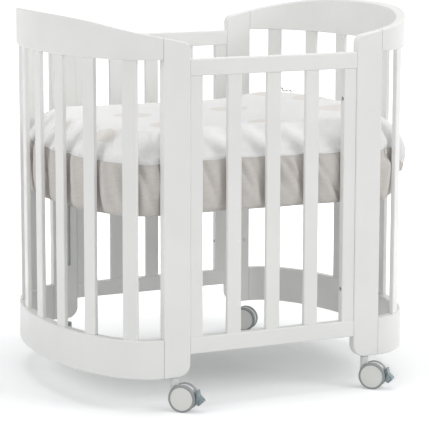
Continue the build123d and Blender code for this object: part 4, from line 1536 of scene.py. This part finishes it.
@dataclass(frozen=True)
class Softbox:
    """A square soft light that points at the crib."""

    name: str
    place: tuple[float, float, float]
    size: float
    power: float
    aim_height: float = 0.45

    def hang(self) -> None:
        """Hangs the light, out of the eye's sight."""
        lamp = bpy.data.lights.new(self.name, "AREA")
        lamp.shape, lamp.size, lamp.energy = "SQUARE", self.size, self.power
        obj = bpy.data.objects.new(self.name, lamp)
        obj.location = self.place
        toward = Vector((0, 0, self.aim_height)) - Vector(self.place)
        obj.rotation_euler = toward.to_track_quat("-Z", "Y").to_euler()
        obj.visible_camera = False
        bpy.context.scene.collection.objects.link(obj)


@dataclass
class Studio:
    """A pale floor that glows for direct views further from the crib, soft light from above and in
    front, and the camera.
    """

    floor_size: float = 60.0
    floor_colour: str = "EBECED"
    shadow_room: tuple[float, float] = (0.50, 0.39)  # half length and width of the part in shadow
    shadow_middle: tuple[float, float, float] = (0.0, 0.045, 0.0)
    # Seen directly, the floor glows in two steps: from and to, as shares of that room, and how much
    # brighter. The first is painted light that lifts the shadow and fades it out; the second makes the
    # far floor white.
    painted_glow_steps: tuple[tuple[float, float, float], ...] = ((0.07, 1.0, 0.30), (1.0, 3.2, 0.70))
    sky_colour: str = "FAFAFA"
    sky_strength: float = 0.38
    lights: tuple[Softbox, ...] = (
        Softbox("overhead", (0.05, 0.15, 4.6), 2.8, 67.0),
        Softbox("front_right", (3.2, -4.2, 3.2), 2.4, 96.0),
        Softbox("front_left", (-2.7, -5.6, 1.9), 3.2, 24.0),
        Softbox("left", (-4.5, -0.5, 2.4), 3.0, 59.0),
        Softbox("right", (4.5, -0.5, 2.4), 3.0, 32.0),
    )
    rays: tuple[str, str, str] = ("Camera", "Glossy", "Transmission")
    eye: tuple[float, float, float] = (-2.0491, -4.2929, 1.1716)
    yaw: float = 25.69
    pitch: float = 9.66
    roll: float = 0.11
    lens: float = 174.7
    sensor: float = 36.0

    def build(self) -> None:
        """Makes the floor, the world, the lamps and the camera."""
        self._floor()
        self._world()
        for light in self.lights:
            light.hang()
        self._camera()
        bpy.context.scene.view_settings.view_transform = "Standard"
        log.info("studio is set")

    def _seen_directly(self, art: Drawing) -> bpy.types.NodeSocket:
        """Tells whether the eye, a reflection or clear plastic looks straight at the surface.

        Args:
            art: draws in the material or world.

        Returns:
            1 where it does, and 0 for light that bounces.
        """
        camera, glossy, clear = (art.add("LightPath", {}, f"Is {ray} Ray") for ray in self.rays)
        either = art.add("Math", {0: camera, 1: glossy}, operation="MAXIMUM")
        return art.add("Math", {0: either, 1: clear}, operation="MAXIMUM")

    def _floor(self) -> None:
        """Makes the floor, which keeps the crib's shadow. Seen directly, it glows more the further out
        it is: painted light that fades the shadow and makes the far floor white.
        """
        half = self.floor_size / 2
        corners = np.array([(-half, -half, 0), (half, -half, 0), (half, half, 0), (-half, half, 0)])
        floor = make_object("floor", corners, [(0, 1, 2, 3)])
        made = bpy.data.materials.new("studio_floor")
        art = Drawing.of(made)
        room = (1 / self.shadow_room[0], 1 / self.shadow_room[1], 0)
        out = art.add("VectorMath", {0: art.place, 1: self.shadow_middle}, operation="SUBTRACT")
        oval = art.add("VectorMath", {0: out, 1: room}, operation="MULTIPLY")
        away = art.add("VectorMath", {0: oval}, "Value", operation="LENGTH")
        steps = [
            art.add("MapRange", {0: away, 1: start, 2: end, 4: white}, **SMOOTH)
            for start, end, white in self.painted_glow_steps
        ]
        white = art.add("Math", dict(enumerate(steps)), operation="ADD")
        # Painted light: the floor glows only where it is seen directly.
        glow = art.add("Math", {0: self._seen_directly(art), 1: white}, operation="MULTIPLY")
        matt = art.add("BsdfDiffuse", {"Color": self.floor_colour})
        light = art.add("Emission", {"Color": WHITE, "Strength": glow})
        art.add("OutputMaterial", {"Surface": art.add("AddShader", {0: matt, 1: light})})
        floor.data.materials.append(made)

    def _world(self) -> None:
        """Makes the even light all round, which the eye sees as white."""
        world = bpy.data.worlds.new("studio")
        bpy.context.scene.world = world
        art = Drawing.of(world)
        seen = self._seen_directly(art)
        strength = art.add("MapRange", {0: seen, 3: self.sky_strength, 4: 1.0})
        colour = art.add("Mix", {0: seen, 6: self.sky_colour, 7: WHITE}, **COLOURS)
        sky = art.add("Background", {"Color": colour, "Strength": strength})
        art.add("OutputWorld", {"Surface": sky})

    def _camera(self) -> None:
        """Makes the camera and sets it as the scene's own."""
        yaw, pitch, roll = (math.radians(a) for a in (self.yaw, self.pitch, self.roll))
        level = Vector((math.cos(yaw), -math.sin(yaw), 0))
        forward = Vector((math.sin(yaw), math.cos(yaw), 0))
        ahead = forward * math.cos(pitch) - Vector((0, 0, math.sin(pitch)))
        upright = level.cross(ahead)
        right = level * math.cos(roll) + upright * math.sin(roll)
        up = upright * math.cos(roll) - level * math.sin(roll)
        data = bpy.data.cameras.new("camera")
        data.lens, data.sensor_width = self.lens, self.sensor
        camera = bpy.data.objects.new("camera", data)
        turned = Matrix((right, up, -ahead)).transposed().to_4x4()
        camera.matrix_world = Matrix.Translation(self.eye) @ turned
        bpy.context.scene.collection.objects.link(camera)
        bpy.context.scene.camera = camera


def main() -> None:
    """Dresses the frame, makes the bedding and sets the studio."""
    logging.basicConfig(level=logging.INFO, format="%(message)s")
    LacqueredBody().dress()
    Fittings().dress()
    for corner in ("front_left", "front_right", "rear_left", "rear_right"):
        Caster(corner, braked=corner.startswith("front")).dress()
    Mattress().build()
    shape = CoverShape()
    QuiltedTop(shape).build()
    Skirt(shape).build()
    Studio().build()


if __name__ == "__main__":
    main()
